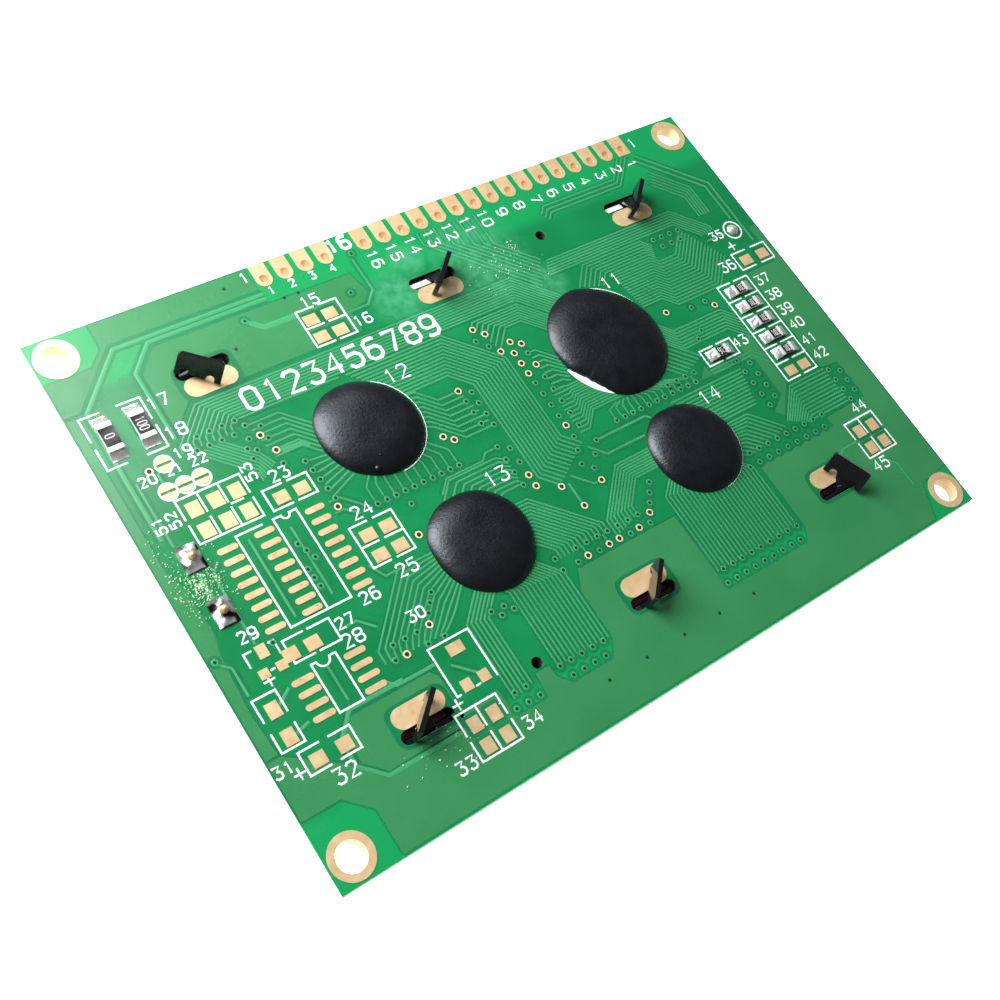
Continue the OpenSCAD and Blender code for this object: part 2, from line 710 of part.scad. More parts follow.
// Lead: a pin through the lamp board, the frame's floor and the circuit board
module lamp_lead(side) {
    color("sienna") translate([lead_x, nose_y + side * lead_span / 2, nose_z])
        cylinder(d = lead_d, h = top_z + lead_h - nose_z);
}

module upper_lamp_lead() {
    lamp_lead(1);
}

module lower_lamp_lead() {
    lamp_lead(-1);
}

// Resin dome over a bonded chip: full in the middle, steep at the rim
module resin_dome(place, diameter) {
    steps = 10;
    rise = [for (i = [0 : steps]) let (a = 90 * i / steps)
        [diameter / 2 * sin(a), dome_h * pow(cos(a), 1.35)]];
    color("dimgray") translate([place[0], place[1], top_z])
        rotate_extrude() polygon(concat([[0, 0]], rise));
}

module chip_dome_1() {
    resin_dome(dome_1, dome_1_d);
}

module chip_dome_2() {
    resin_dome(dome_2, dome_d);
}

module chip_dome_3() {
    resin_dome(dome_3, dome_d);
}

module chip_dome_4() {
    resin_dome(dome_4, dome_d);
}

// Ceramic chip with a metal cap on either end, lying along X on its lands
module chip_resistor(length, width, height) {
    color("darkslategray")
        block([0, 0, part_z + cap_step], [length - cap_l, width - 2 * cap_step, height - 2 * cap_step]);
    for (s = [-1, 1])
        color("silver") block([s * (length - cap_l) / 2, 0, part_z], [cap_l, width, height]);
}

module ladder_resistor(i) {
    translate(chip_sites[i]) chip_resistor(chip_l, chip_w, chip_h);
}

module ladder_resistor_1() {
    ladder_resistor(0);
}

module ladder_resistor_2() {
    ladder_resistor(1);
}

module ladder_resistor_3() {
    ladder_resistor(2);
}

module ladder_resistor_4() {
    ladder_resistor(3);
}

module ladder_resistor_5() {
    ladder_resistor(4);
}

module timing_resistor() {
    ladder_resistor(5);
}

module lamp_resistor(i) {
    translate(lamp_chips[i]) rotate(90) chip_resistor(lamp_chip_l, lamp_chip_w, lamp_chip_h);
}

module lamp_resistor_1() {
    lamp_resistor(0);
}

module lamp_resistor_2() {
    lamp_resistor(1);
}

// Hollow fillets of solder against both ends of a chip that lies along X
module solder_fillets(length, width) {
    for (s = [0, 1]) mirror([s, 0, 0])
        translate([length / 2, 0, part_z]) rotate([90, 0, 0])
            linear_extrude(width, center = true) difference() {
                square(solder_l);
                translate([solder_l + solder_foot, solder_l + solder_foot]) circle(solder_l);
            }
}

module resistor_solder() {
    color("silver") {
        for (p = chip_sites) translate(p) solder_fillets(chip_l, chip_w);
        for (p = lamp_chips) translate(p) rotate(90) solder_fillets(lamp_chip_l, lamp_chip_w);
    }
}

module lead_solder() {
    color("silver") at_lamp_leads() translate([0, 0, part_z]) difference() {
        cylinder(r1 = lead_land[0] / 2, r2 = lead_d / 2 + solder_foot, h = lead_solder_h);
        translate([0, 0, -over]) cylinder(d = lead_d + lead_solder_gap, h = lead_solder_h + 2 * over);
    }
}

module jumper_solder() {
    ball_r = (jumper_r * jumper_r + jumper_rise * jumper_rise) / (2 * jumper_rise);
    color("silver") translate([jumper_dome[0], jumper_dome[1], part_z]) intersection() {
        translate([0, 0, jumper_rise - ball_r]) sphere(ball_r);
        cylinder(r = jumper_r, h = jumper_rise + over);
    }
}

circuit_board();
mounting_rings();
row_pads();
bus_pads();
tab_pads();
part_pads();
jumper_pads();
printed_lines();
bezel();
front_polariser();
front_glass();
rear_glass();
rear_polariser();
upper_contact_strip();
lower_contact_strip();
diffuser_film();
light_guide();
reflector_film();
backlight_frame();
lamp_board();
lamps();
upper_lamp_lead();
lower_lamp_lead();
chip_dome_1();
chip_dome_2();
chip_dome_3();
chip_dome_4();
ladder_resistor_1();
ladder_resistor_2();
ladder_resistor_3();
ladder_resistor_4();
ladder_resistor_5();
timing_resistor();
lamp_resistor_1();
lamp_resistor_2();
resistor_solder();
lead_solder();
jumper_solder();
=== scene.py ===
# A character LCD module, 16 columns by 4 rows, lying face down on the front of its bezel.
# X runs towards pin 1 of the long row, Y towards the connector edge, Z out of the board's back.
import math
import random

import bpy
import bmesh
from mathutils import Matrix, Vector, noise


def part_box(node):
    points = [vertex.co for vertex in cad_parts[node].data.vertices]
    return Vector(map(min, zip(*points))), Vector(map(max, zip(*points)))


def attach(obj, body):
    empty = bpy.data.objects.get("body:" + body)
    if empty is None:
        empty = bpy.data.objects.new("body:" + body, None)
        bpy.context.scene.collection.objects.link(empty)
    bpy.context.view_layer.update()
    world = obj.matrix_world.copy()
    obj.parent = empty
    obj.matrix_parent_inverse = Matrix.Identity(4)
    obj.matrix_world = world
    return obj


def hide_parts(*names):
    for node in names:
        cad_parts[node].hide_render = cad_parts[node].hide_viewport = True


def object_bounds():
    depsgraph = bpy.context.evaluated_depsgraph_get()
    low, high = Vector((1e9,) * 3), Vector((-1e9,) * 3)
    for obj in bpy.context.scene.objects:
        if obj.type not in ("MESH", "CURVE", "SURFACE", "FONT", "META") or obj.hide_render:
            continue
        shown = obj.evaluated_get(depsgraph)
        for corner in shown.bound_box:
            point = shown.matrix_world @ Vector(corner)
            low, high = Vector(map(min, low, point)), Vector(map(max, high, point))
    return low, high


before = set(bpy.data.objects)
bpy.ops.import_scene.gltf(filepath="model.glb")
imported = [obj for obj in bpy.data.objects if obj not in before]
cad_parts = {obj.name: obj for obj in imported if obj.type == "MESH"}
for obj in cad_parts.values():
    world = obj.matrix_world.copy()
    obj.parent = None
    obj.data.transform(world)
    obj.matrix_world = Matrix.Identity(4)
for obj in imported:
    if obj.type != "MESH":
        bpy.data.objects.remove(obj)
cad_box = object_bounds()
mm = 0.001

# Bezel: one piece of steel sheet, folded up round the glass and painted gloss black. Six
# tabs come through the slots and are twisted to clamp the board. The paint rounds each
# edge a little, and the edges of the tabs catch the light.
paint_black = (0.006, 0.006, 0.007)
paint_round = 0.07 * mm
low_noise, high_noise = 0.3, 0.7      # nearly all values of the noise lie between these
merge_gap, flat_angle = 0.0005 * mm, math.radians(0.5)
sharp_angle, smooth_angle = math.radians(35), math.radians(40)


def choose(piece):
    """Leaves piece alone selected, in object mode."""
    bpy.ops.object.select_all(action="DESELECT")
    piece.select_set(True)
    bpy.context.view_layer.objects.active = piece


def opened():
    """Edit mode, with all of the active piece selected."""
    bpy.ops.object.mode_set(mode="EDIT")
    bpy.ops.mesh.select_all(action="SELECT")


def linked(name, data):
    """A new object in the scene."""
    made = bpy.data.objects.new(name, data)
    bpy.context.scene.collection.objects.link(made)
    return made


def finish(name, colour, roughness, metallic=0.0, **more):
    """A new material of one colour; more sets other values by their names, as Coat_Weight."""
    made = bpy.data.materials.new(name)
    made.use_nodes = True
    inputs = made.node_tree.nodes["Principled BSDF"].inputs
    values = {"Base_Color": (*colour, 1), "Roughness": roughness, "Metallic": metallic, **more}
    for socket, value in values.items():
        inputs[socket.replace("_", " ")].default_value = value
    return made


def added(made, kind, inputs, **settings):
    """A node in the material, each of whose inputs gets a value or another node's output."""
    node = made.node_tree.nodes.new("ShaderNode" + kind)
    for setting, value in settings.items():
        setattr(node, setting, value)
    for socket, value in inputs.items():
        if isinstance(value, bpy.types.NodeSocket):
            made.node_tree.links.new(value, node.inputs[socket])
        else:
            node.inputs[socket].default_value = value
    return node


def feed(made, socket, source):
    """Links a source to one of the shader's inputs."""
    made.node_tree.links.new(source, made.node_tree.nodes["Principled BSDF"].inputs[socket])


def fed(made, socket):
    """The sources that are linked to one of the shader's inputs: one or none."""
    return [link.from_socket for link in made.node_tree.nodes["Principled BSDF"].inputs[socket].links]


def grain(made, size, detail=3.0, stretch=(1, 1, 1)):
    """Noise on the object's own coordinates, with spots about size mm across."""
    place = added(made, "TexCoord", {}).outputs["Object"]
    mapping = added(made, "Mapping", {"Vector": place, "Scale": stretch})
    return added(made, "TexNoise", {"Vector": mapping.outputs["Vector"], "Scale": 1 / (size * mm),
                                    "Detail": detail}).outputs["Fac"]


def mapped(made, source, low, high, to_low=0.0, to_high=1.0, kind="LINEAR"):
    """Moves the source's values from low..high to to_low..to_high."""
    return added(made, "MapRange", {"Value": source, "From Min": low, "From Max": high, "To Min": to_low,
                                    "To Max": to_high}, interpolation_type=kind).outputs["Result"]


def gloss(made, size, low, high):
    """Roughness from low to high, in spots about size mm across."""
    feed(made, "Roughness", mapped(made, grain(made, size), low_noise, high_noise, low, high))


def relief(made, size, depth, *texture):
    """Bumps of the given size and depth in mm, laid over any that the material has."""
    below = {"Normal": source for source in fed(made, "Normal")}
    bump = added(made, "Bump", {"Height": grain(made, size, *texture), "Strength": 1.0,
                                "Distance": depth * mm, **below})
    feed(made, "Normal", bump.outputs["Normal"])


def coat(data, made):
    """Gives a mesh one material."""
    data.materials.clear()
    data.materials.append(made)


def dress(piece, made):
    """Gives a new piece its material and its body."""
    coat(piece.data, made)
    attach(piece, "root")


def softened(node, name, radius, parts=2):
    """A merged copy of a node with its sharp edges rounded."""
    piece = linked(name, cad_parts[node].data.copy())
    choose(piece)
    opened()
    bpy.ops.mesh.remove_doubles(threshold=merge_gap)
    bpy.ops.mesh.dissolve_limited(angle_limit=flat_angle)
    bpy.ops.object.mode_set(mode="OBJECT")
    bpy.ops.object.modifier_add(type="BEVEL")
    round_off = piece.modifiers[-1]
    round_off.limit_method = "ANGLE"
    round_off.angle_limit = sharp_angle
    round_off.width = radius
    round_off.segments = parts
    bpy.ops.object.modifier_apply(modifier=round_off.name)
    bpy.ops.object.shade_smooth_by_angle(angle=smooth_angle)
    bpy.ops.object.modifier_add(type="WEIGHTED_NORMAL")
    piece.modifiers[-1].keep_sharp = True
    bpy.ops.object.modifier_apply(modifier=piece.modifiers[-1].name)
    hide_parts(node)
    return piece


black_paint = finish("gloss_black_paint", paint_black, 0.16)
relief(black_paint, 0.9, 0.02)
relief(black_paint, 0.12, 0.002)
gloss(black_paint, 2.5, 0.1, 0.26)
dress(softened("bezel", "folded_bezel", paint_round), black_paint)

# Display: two glass plates with a polariser on either side. The front one shows deep blue,
# and the characters' dots can just be made out while the display is off.
columns, rows = 16, 4
dot_columns, dot_rows = 5, 8
character_pitch = (3.55 * mm, 5.35 * mm)
character_size = (2.95 * mm, 4.75 * mm)
dot_gap, dot_lift = 0.05 * mm, 0.004 * mm


def tint(made, source, *stops):
    """Colours the material by source: each stop is a place from 0 to 1 and a colour."""
    ramp = added(made, "ValToRGB", {"Fac": source})
    while len(ramp.color_ramp.elements) < len(stops):
        ramp.color_ramp.elements.new(0.5)
    for element, (place, colour) in zip(ramp.color_ramp.elements, stops):
        element.position = place
        element.color = (*colour, 1)
    feed(made, "Base Color", ramp.outputs["Color"])


def mottle(made, size, dark, pale, *texture):
    """Colours the material in spots about size mm across, from dark to pale."""
    tint(made, grain(made, size, *texture), (low_noise, dark), (high_noise, pale))


def redress(nodes, made):
    """Gives nodes a better material."""
    for node in nodes:
        coat(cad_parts[node].data, made)


blue_film = finish("blue_polariser", (0.006, 0.02, 0.16), 0.12, Coat_Weight=0.6)
mottle(blue_film, 25, (0.004, 0.014, 0.12), (0.008, 0.026, 0.2))
relief(blue_film, 0.08, 0.0004)
redress(("front_polariser", "rear_polariser"), blue_film)

clear_glass = finish("display_glass", (0.82, 0.9, 0.92), 0.04, Transmission_Weight=0.85, IOR=1.5)
gloss(clear_glass, 8, 0.02, 0.07)
redress(("front_glass", "rear_glass"), clear_glass)

dot_size = ((character_size[0] - (dot_columns - 1) * dot_gap) / dot_columns,
            (character_size[1] - (dot_rows - 1) * dot_gap) / dot_rows)
corners = []
for column in range(columns * dot_columns):
    for row in range(rows * dot_rows):
        cell = (column // dot_columns, row // dot_rows)
        dot = (column % dot_columns, row % dot_rows)
        x, y = [(cell[k] - ((columns, rows)[k] - 1) / 2) * character_pitch[k] - character_size[k] / 2
                + dot[k] * (dot_size[k] + dot_gap) for k in (0, 1)]
        corners += [(x, y), (x, y + dot_size[1]), (x + dot_size[0], y + dot_size[1]), (x + dot_size[0], y)]
dots_mesh = bpy.data.meshes.new("character_dots")
dot_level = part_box("front_polariser")[0].z - dot_lift
dots_mesh.from_pydata([(x, y, dot_level) for x, y in corners], [],
                      [(k, k + 1, k + 2, k + 3) for k in range(0, len(corners), 4)])
faint_dot = finish("unlit_dot", (0.012, 0.035, 0.24), 0.2)
mottle(faint_dot, 6, (0.01, 0.03, 0.2), (0.016, 0.045, 0.28))
dress(linked("character_dots", dots_mesh), faint_dot)

# Contact strips: pink silicone rubber, with dark conductive layers that join the glass to
# the gilded fingers under the board.
pink_rubber = finish("contact_rubber", (0.62, 0.16, 0.18), 0.55)
layers = grain(pink_rubber, 0.12, 1.0, (1, 0.02, 0.02))
tint(pink_rubber, layers, (0.35, (0.42, 0.08, 0.1)), (0.62, (0.7, 0.22, 0.24)))
relief(pink_rubber, 0.3, 0.01)
redress(("upper_contact_strip", "lower_contact_strip"), pink_rubber)

# Backlight: a clear guide between a diffusing and a reflecting film, in a white moulding
# whose nose holds the lamps. Two tinned pins bring their current to the board.
moulded_round, wire_round = 0.12 * mm, 0.1 * mm
white_film = finish("backlight_film", (0.8, 0.82, 0.8), 0.4)
relief(white_film, 0.2, 0.002)
gloss(white_film, 5, 0.3, 0.5)
redress(("diffuser_film", "reflector_film"), white_film)

guide_plastic = finish("light_guide", (0.86, 0.93, 0.95), 0.08, Transmission_Weight=0.8)
gloss(guide_plastic, 4, 0.05, 0.15)
redress(["light_guide"], guide_plastic)

white_moulding = finish("white_moulding", (0.78, 0.8, 0.78), 0.42)
mottle(white_moulding, 6, (0.72, 0.75, 0.73), (0.82, 0.84, 0.82))
relief(white_moulding, 0.25, 0.006)
dress(softened("backlight_frame", "moulded_frame", moulded_round), white_moulding)

# Two ribs of the moulding show in the middle and right upper slots: middles and size in mm
rib_middles = {"middle_slot_rib": (-1.5, 21.05, 9.1), "right_slot_rib": (27, 21.05, 9.1)}
rib_size = (2.6, 0.6, 1.5)


def block(name, middle, size):
    """A box by its middle and its size."""
    bpy.ops.mesh.primitive_cube_add(size=1, location=middle, scale=size)
    made = bpy.context.active_object
    made.name = name
    bpy.ops.object.transform_apply()
    return made


for name, middle in rib_middles.items():
    rib = block(name, [k * mm for k in middle], [k * mm for k in rib_size])
    dress(rib, white_moulding)

lamp_laminate = finish("lamp_board", (0.75, 0.73, 0.62), 0.5)
mottle(lamp_laminate, 1.5, (0.68, 0.66, 0.54), (0.8, 0.78, 0.68))
redress(["lamp_board"], lamp_laminate)
lamp_body = finish("lamp_phosphor", (0.85, 0.7, 0.12), 0.35)
mottle(lamp_body, 0.8, (0.8, 0.62, 0.08), (0.9, 0.78, 0.2))
redress(["lamps"], lamp_body)

pin_wire = finish("brass_pin", (0.62, 0.44, 0.22), 0.38, 0.6)
tint(pin_wire, grain(pin_wire, 0.4), (0.35, (0.5, 0.32, 0.14)), (0.65, (0.74, 0.56, 0.32)))
lamp_leads = ("upper_lamp_lead", "lower_lamp_lead")
for node in lamp_leads:
    dress(softened(node, node.replace("lamp_lead", "lamp_pin"), wire_round), pin_wire)

# Circuit board: glass and epoxy laminate under green solder mask on both faces. Its sawn
# edges are pale, and its slots and holes cut through the mask.
laminate_green = (0.004, 0.2, 0.062)
board_low, board_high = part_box("circuit_board")
board_top = board_high.z
sawn_round, rim_inset, upright = 0.06 * mm, 0.3 * mm, 0.5
board = softened("circuit_board", "masked_board", sawn_round)
bare_mask = finish("mask_over_laminate", laminate_green, 0.26)
mottle(bare_mask, 9, (0.003, 0.16, 0.045), (0.005, 0.21, 0.067))


def veiled(made, share, colour):
    """Lays a colour over the material's own, by share."""
    below = fed(made, "Base Color")[0]
    blend = added(made, "MixRGB", {"Fac": share, "Color1": below, "Color2": (*colour, 1)})
    feed(made, "Base Color", blend.outputs["Color"])


def computed(made, operation, *sources):
    """The outcome of an operation on one or two sources."""
    return added(made, "Math", dict(enumerate(sources)), operation=operation).outputs["Value"]


def painted_glow_through(made, glow):
    """Brightens a mask where the laminate under it has no module behind it: a painted glow, standing in for
    the floor's light that shines through the laminate.
    """
    place = added(made, "TexCoord", {}).outputs["Object"]
    reach = computed(made, "ABSOLUTE", added(made, "SeparateXYZ", {"Vector": place}).outputs["Y"])
    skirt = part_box("bezel")[1].y
    veiled(made, mapped(made, reach, skirt - 0.5 * mm, skirt + 1.5 * mm, kind="SMOOTHSTEP"), glow)


# Where the flux was left to dry round hand soldered joints: middle and reach in mm
stains = [(6.5, 20.8, 8), (-5, 20.6, 4.6), (-1.5, 24.2, 3), (12.5, 15.4, 3.4)]
stain_core, stain_spots = 0.25, (0.35, 0.65, 0.3, 0.95)      # spots: noise from and to, share from and to


def stained(made, pale):
    """Veils a mask with dried flux round each stain."""
    place = added(made, "TexCoord", {}).outputs["Object"]
    fades = []
    for x, y, reach in stains:
        away = added(made, "VectorMath", {0: place, 1: (x * mm, y * mm, board_top)}, operation="DISTANCE")
        fades.append(mapped(made, away.outputs["Value"], reach * mm, stain_core * reach * mm,
                            kind="SMOOTHSTEP"))
    share = fades[0]
    for fade in fades[1:]:
        share = computed(made, "MAXIMUM", share, fade)
    uneven = mapped(made, grain(made, 0.9, 7.0), *stain_spots)
    veiled(made, computed(made, "MULTIPLY", share, uneven), pale)


# Painted light: the bare mask is brightened beyond the bezel's skirt, for the floor's light shining through
# the laminate
painted_glow_through(bare_mask, (0.006, 0.275, 0.078))
stained(bare_mask, (0.055, 0.32, 0.15))
relief(bare_mask, 0.5, 0.004)
relief(bare_mask, 0.09, 0.0012)
gloss(bare_mask, 3, 0.2, 0.3)
sawn_edge = finish("sawn_laminate", (0.5, 0.66, 0.42), 0.6)
fibres = (4.0, (1, 1, 6))      # the noise's detail and stretch
mottle(sawn_edge, 0.3, (0.34, 0.52, 0.3), (0.66, 0.78, 0.55), *fibres)
relief(sawn_edge, 0.3, 0.02, *fibres)
dress(board, bare_mask)
board.data.materials.append(sawn_edge)
# Painted shade: the walls of the slots and holes get a near-black colour for the shade inside the cuts; the
# laminate itself is pale like the sawn edge
painted_shade_wall = finish("painted_shade_wall", (0.03, 0.024, 0.016), 0.7)
mottle(painted_shade_wall, 0.2, (0.015, 0.012, 0.008), (0.05, 0.04, 0.026))
board.data.materials.append(painted_shade_wall)
for face in board.data.polygons:
    if abs(face.normal.z) < upright:
        outer = (min(face.center.x - board_low.x, board_high.x - face.center.x) < rim_inset
                 or min(face.center.y - board_low.y, board_high.y - face.center.y) < rim_inset)
        face.material_index = 1 if outer else 2

# Copper under the mask: poured areas, tracks and covered vias raise the mask a little and
# pale it. Where copper was etched away beside a track, the mask lies lower and darker.
pour_lift, clearing_lift, gap_lift = 0.003, 0.008, 0.006      # mm over the bare mask
pour_thickness, film, gap_height, track_height = 0.004, 0.001, 0.002, 0.01
track_width, gap_width, wide_gap_margin, pour_edge = 0.24, 0.62, 0.55, 0.38

pours = [
    [(-36.5, 29.8), (-18.7, 29.8), (-18.7, 27.05), (-35.9, 27.05), (-41.7, 21.2), (-43.3, 21.2),
     (-43.3, 25.2), (-38.3, 25.2), (-36.6, 26.9)],
    [(-43.3, 20.8), (-42.4, 20.8), (-42.4, 3.2), (-41.6, 0.4), (-41.4, -4.2), (-41.9, -6.3),
     (-42.3, -12.2), (-42, -16.6), (-43.3, -16.7)],
    [(-35.8, -17.4), (-35, -16.8), (-25.6, -16.8), (-24.9, -17.5), (-24.9, -22.5), (-25.2, -22.8),
     (-34, -22.8), (-35.8, -21)],
    [(-34.3, 22.6), (-31.9, 25.1), (-8.4, 25.1), (-7.8, 22.5), (-8.6, 21.4), (-10.9, 21), (-10.9, 18.3),
     (-31.6, 18.3), (-34.3, 15.6)],
    [(-36.9, -29.7), (37, -29.7), (38.8, -25.5), (43.3, -24.9), (43.3, 12), (42.2, 12), (42.2, 6.6),
     (37.4, 6.6), (37.4, -7.9), (40, -8.2), (40, -13.3), (33.4, -13.5), (33.4, -14.7), (21.2, -14.8),
     (21.2, -22.9), (20.3, -24.5), (8, -24.5), (7.8, -15), (-5.7, -15), (-6.9, -17.2), (-6.9, -22.7),
     (-8.1, -24.5), (-13.4, -24.5), (-14.5, -23.2), (-14.6, -21.9), (-16.3, -21.9), (-16.5, -24.5),
     (-20.4, -24.5), (-20.6, -21.4), (-25.9, -21.4), (-25.9, -22.9), (-34.6, -22.9), (-37, -20.4),
     (-41.9, -16.9), (-43.3, -16.9), (-43.3, -22.8), (-39.2, -22.8), (-36.9, -25.1)],
    [(21.9, -2.95), (23.4, -1.5), (23.4, -2.3), (29.3, -2.3), (29.3, -0.4), (31.7, -0.4), (31.7, -7.6),
     (28.5, -11), (27.6, -10.1), (30, -8.6), (30, -3.5), (29.2, -2.95)]]

# Each bundle: its first track, its last one, and how many there are
bundles = [
    ([(-35, 13.2), (-34.9, 14), (-31.3, 17.6), (8.5, 17.6), (12.9, 13.2)],
     [(-29.4, 13.2), (-29.3, 14), (-28.5, 14.85), (7.3, 14.85), (10.6, 11.55)], 9),
    ([(-15.6, 14.35), (-3.4, 14.35), (1.9, 9.05), (1.9, -1.6), (3.6, -3.3)],
     [(-11, 9.8), (-5.5, 9.8), (-3.4, 7.7), (-3.4, -4.6), (-1.6, -6.4)], 12),
    ([(-27.8, 13.4), (-24.2, 13.4), (-21.6, 10.8)], [(-27, 9.2), (-23.9, 9.2), (-22.4, 7.7)], 7),
    ([(-22.3, 7.2), (-24.2, 7.4)], [(-20.9, 4.2), (-24.2, 2.9)], 7),
    ([(-19.6, 3.4), (-20.6, 2.3), (-20.6, 0.3)], [(-12.3, 4.2), (-10.4, 2.3), (-10.4, 0.3)], 10),
    ([(-10.9, 9.65), (-10, 9.6), (-8.1, 7.7), (-5.4, 7.7)],
     [(-11.2, 5.6), (-10.3, 5.2), (-7.8, 2.7), (-4.2, 2.7)], 8),
    ([(-14.2, -2.5), (-12.4, -0.7), (-6.4, -0.7), (-5.4, -1.3)],
     [(-8.4, -4.6), (-7.9, -4.4), (-5.9, -4.4), (-5.4, -4.6)], 8),
    ([(-7.8, -6.1), (-6, -6.1), (-0.1, -12), (-0.1, -13.1)],
     [(-8.4, -10.6), (-7.9, -10.9), (-6.6, -12.2), (-6.6, -13.3)], 13),
    ([(-14.2, -13.2), (-13.75, -13.8), (-13.75, -22.4)],
     [(-9.4, -12.2), (-7.25, -14.6), (-7.25, -22.4)], 14),
    ([(-18.4, -6.6), (-22.6, -6.6), (-28.8, -12.8), (-28.8, -14.2)],
     [(-17.2, -10.4), (-19.8, -12.8), (-20.6, -13.4), (-22, -14.3)], 12),
    ([(-16.4, -11.6), (-19.6, -14.6), (-19.6, -23)], [(-14.9, -12.8), (-17.2, -15), (-17.2, -22.6)], 6),
    ([(0.4, 13.8), (0.9, 14.35), (7.1, 14.35), (10.1, 11.35)],
     [(1.9, 10.1), (4.1, 12.3), (6.3, 12.3), (8.6, 10)], 7),
    ([(4.7, 8.5), (5.6, 8.5), (7.9, 6.2)], [(4.7, 4.1), (6.2, 4.1), (7.2, 3.6)], 7),
    ([(4.2, 3.3), (6.1, 3.3), (6.2, 3.2), (8, 3.2)],
     [(4.2, -2.2), (5.6, -2.2), (7.3, -0.5), (11.4, -0.5)], 12),
    ([(9.5, 26.8), (9.5, 22.3), (13.5, 18.3)], [(1.6, 26.8), (1.6, 25.2), (11.6, 15.2)], 8),
    ([(14, 17.9), (33.4, 17.9), (37.2, 14.1), (37.2, 13.4)],
     [(13.2, 16.1), (32.6, 16.1), (35.2, 13.5), (35.2, 13.2)], 6),
    ([(15.6, 13.2), (17.9, 15.7), (26.9, 15.7), (28, 14.6)],
     [(18.6, 12.3), (19.9, 13.7), (26.7, 13.7), (27.4, 13)], 6),
    ([(20.3, 13.3), (26.6, 13.3), (27.5, 12.4), (30.1, 12.4), (32.9, 15.2)],
     [(21.4, 8), (24.4, 8), (25.9, 6.5), (32.9, 6.5), (36.2, 9.8)], 15),
    ([(21.5, 5.2), (22.9, 3.8), (30.4, 3.8), (31.8, 2.4)],
     [(21, 3), (22.7, 1.3), (29.6, 1.3), (31.8, -0.9)], 7),
    ([(20.9, 2.7), (23.9, -0.3)], [(18.6, 0.2), (20.4, -1.6)], 7),
    ([(34.6, 23.9), (38.6, 19.9), (38.6, 15.8)], [(33.8, 22), (36.9, 18.9), (36.9, 15.8)], 5),
    ([(10.4, -0.9), (9, -1.4), (9, -2.8)], [(17.4, -1), (20.9, -2), (20.9, -2.8)], 14),
    ([(10.2, -7.15), (5.4, -7.15), (0.5, -12.05), (0.5, -14)],
     [(9.9, -9.4), (6.6, -9.4), (4.1, -11.9), (4.1, -13)], 8),
    ([(10.4, -11), (8.33, -12.8), (8.33, -22.4)], [(19.4, -13.4), (20.33, -14.4), (20.33, -22.4)], 24),
    ([(16.4, -3.75), (27.4, -3.75)], [(20.9, -8.2), (26.2, -8.2), (27.4, -9.1)], 11),
    ([(20.9, -8.8), (24.2, -8.8), (27.6, -12.2)], [(19.6, -12.4), (20.4, -12.8), (21.2, -13.2)], 11),
    ([(28.3, -11.7), (31.8, -8.2), (37.6, -8.2)], [(31, -13.1), (31.6, -12.9), (37.8, -12.9)], 11),
    ([(31.9, 26.9), (29.5, 24.5), (18.4, 24.5), (17.4, 23.5)],
     [(33.3, 26.9), (29.8, 23.4), (18.8, 23.4), (18, 22.6)], 3),
    ([(-33.9, 12.8), (-29.4, 8.3), (-29.4, 7.4)], [(-31, 12.9), (-28.2, 10.2), (-27.4, 8.6)], 7),
    ([(23.8, -2.9), (30, -2.9), (31.6, -4.5)], [(23.8, -2.4), (30.4, -2.4), (31.6, -3.6)], 2)]
# Tracks on their own, by their width
wide_tracks = {
    0.24: [[(-28.4, 14.45), (-16.4, 14.45)], [(-13.9, -1.8), (-12.5, -0.4), (-7.8, -0.4), (-7, 0.3),
          (-5.4, 0.3)], [(0, -6), (1.9, -7.9), (2.6, -7.9)], [(-3.8, -13.1), (-3.8, -14)],
          [(-0.9, -13.1), (-0.9, -14)]],
    0.3: [[(5.3, -3.75), (12.4, -3.75), (13, -4.2)], [(3.9, -4), (5.5, -5.65), (10.9, -5.65)],
          [(-11.4, 20.9), (-8.6, 20.9), (-7.1, 22.4), (-7.1, 26.6)], [(-23.3, -17.2), (-21.2, -19.2)],
          [(-40.5, 12.2), (-40.5, 5)], [(-38.2, 9.4), (-38.2, 12.2), (-37.6, 12.8)], [(-37.6, 1.9),
          (-38.6, 0.9), (-38.6, -6.8)], [(-33.9, 2.6), (-33.9, -6.2)], [(-29.6, 2), (-29.6, -5.8)],
          [(-24.9, 2.6), (-23.6, 2.6), (-21.2, 0.2)], [(-24.9, 1.3), (-23.9, 1.3), (-22.6, 0.2)],
          [(-24.9, -4.9), (-24, -6.6), (-21, -6.6)], [(-33.8, -11.8), (-33.8, -15.4)], [(-31.4, -9.2),
          (-29, -9.2), (-27.6, -10.6)], [(38.6, 12.4), (35.4, 12.4)], [(36, -20.4), (37.6, -22),
          (37.6, -25)], [(-42.9, -6.6), (-41.6, -7.8), (-41.6, -10.8)], [(-0.75, -6.6), (-0.75, -9.2)]],
    0.35: [[(34.4, 26.6), (41.5, 19.5), (41.5, 10.2)], [(34, 25.9), (40.7, 19.2), (40.7, 13.9)],
          [(-38, -11.8), (-39.6, -12.8)], [(-38, -15.4), (-39.6, -15.8)]],
    0.4: [[(-29.8, -15.6), (-29, -16.4), (-24.7, -16.4)], [(34.6, -17.6), (32.2, -17.6), (31.6, -18.2)]],
    0.5: [[(-18.4, 26.4), (-35.6, 26.4), (-41.2, 20.8), (-41.2, 6)], [(-18.4, 25.8), (-32.1, 25.8),
          (-34.9, 23), (-34.9, 15)], [(-28.2, -16.2), (-34.2, -16.2), (-36.4, -18.4), (-36.4, -21),
          (-34.2, -23.2), (-33.9, -23.2), (-26, -23.2), (-25.6, -23.2)], [(-39.8, 1.7), (-39.8, -1.2)]],
    0.6: [[(-26.2, 9.6), (-23.6, 9.4), (-23.2, 8.9)]],
    0.75: [[(-21.9, 24.2), (-20.4, 22.75), (-16.6, 22.75)]]}

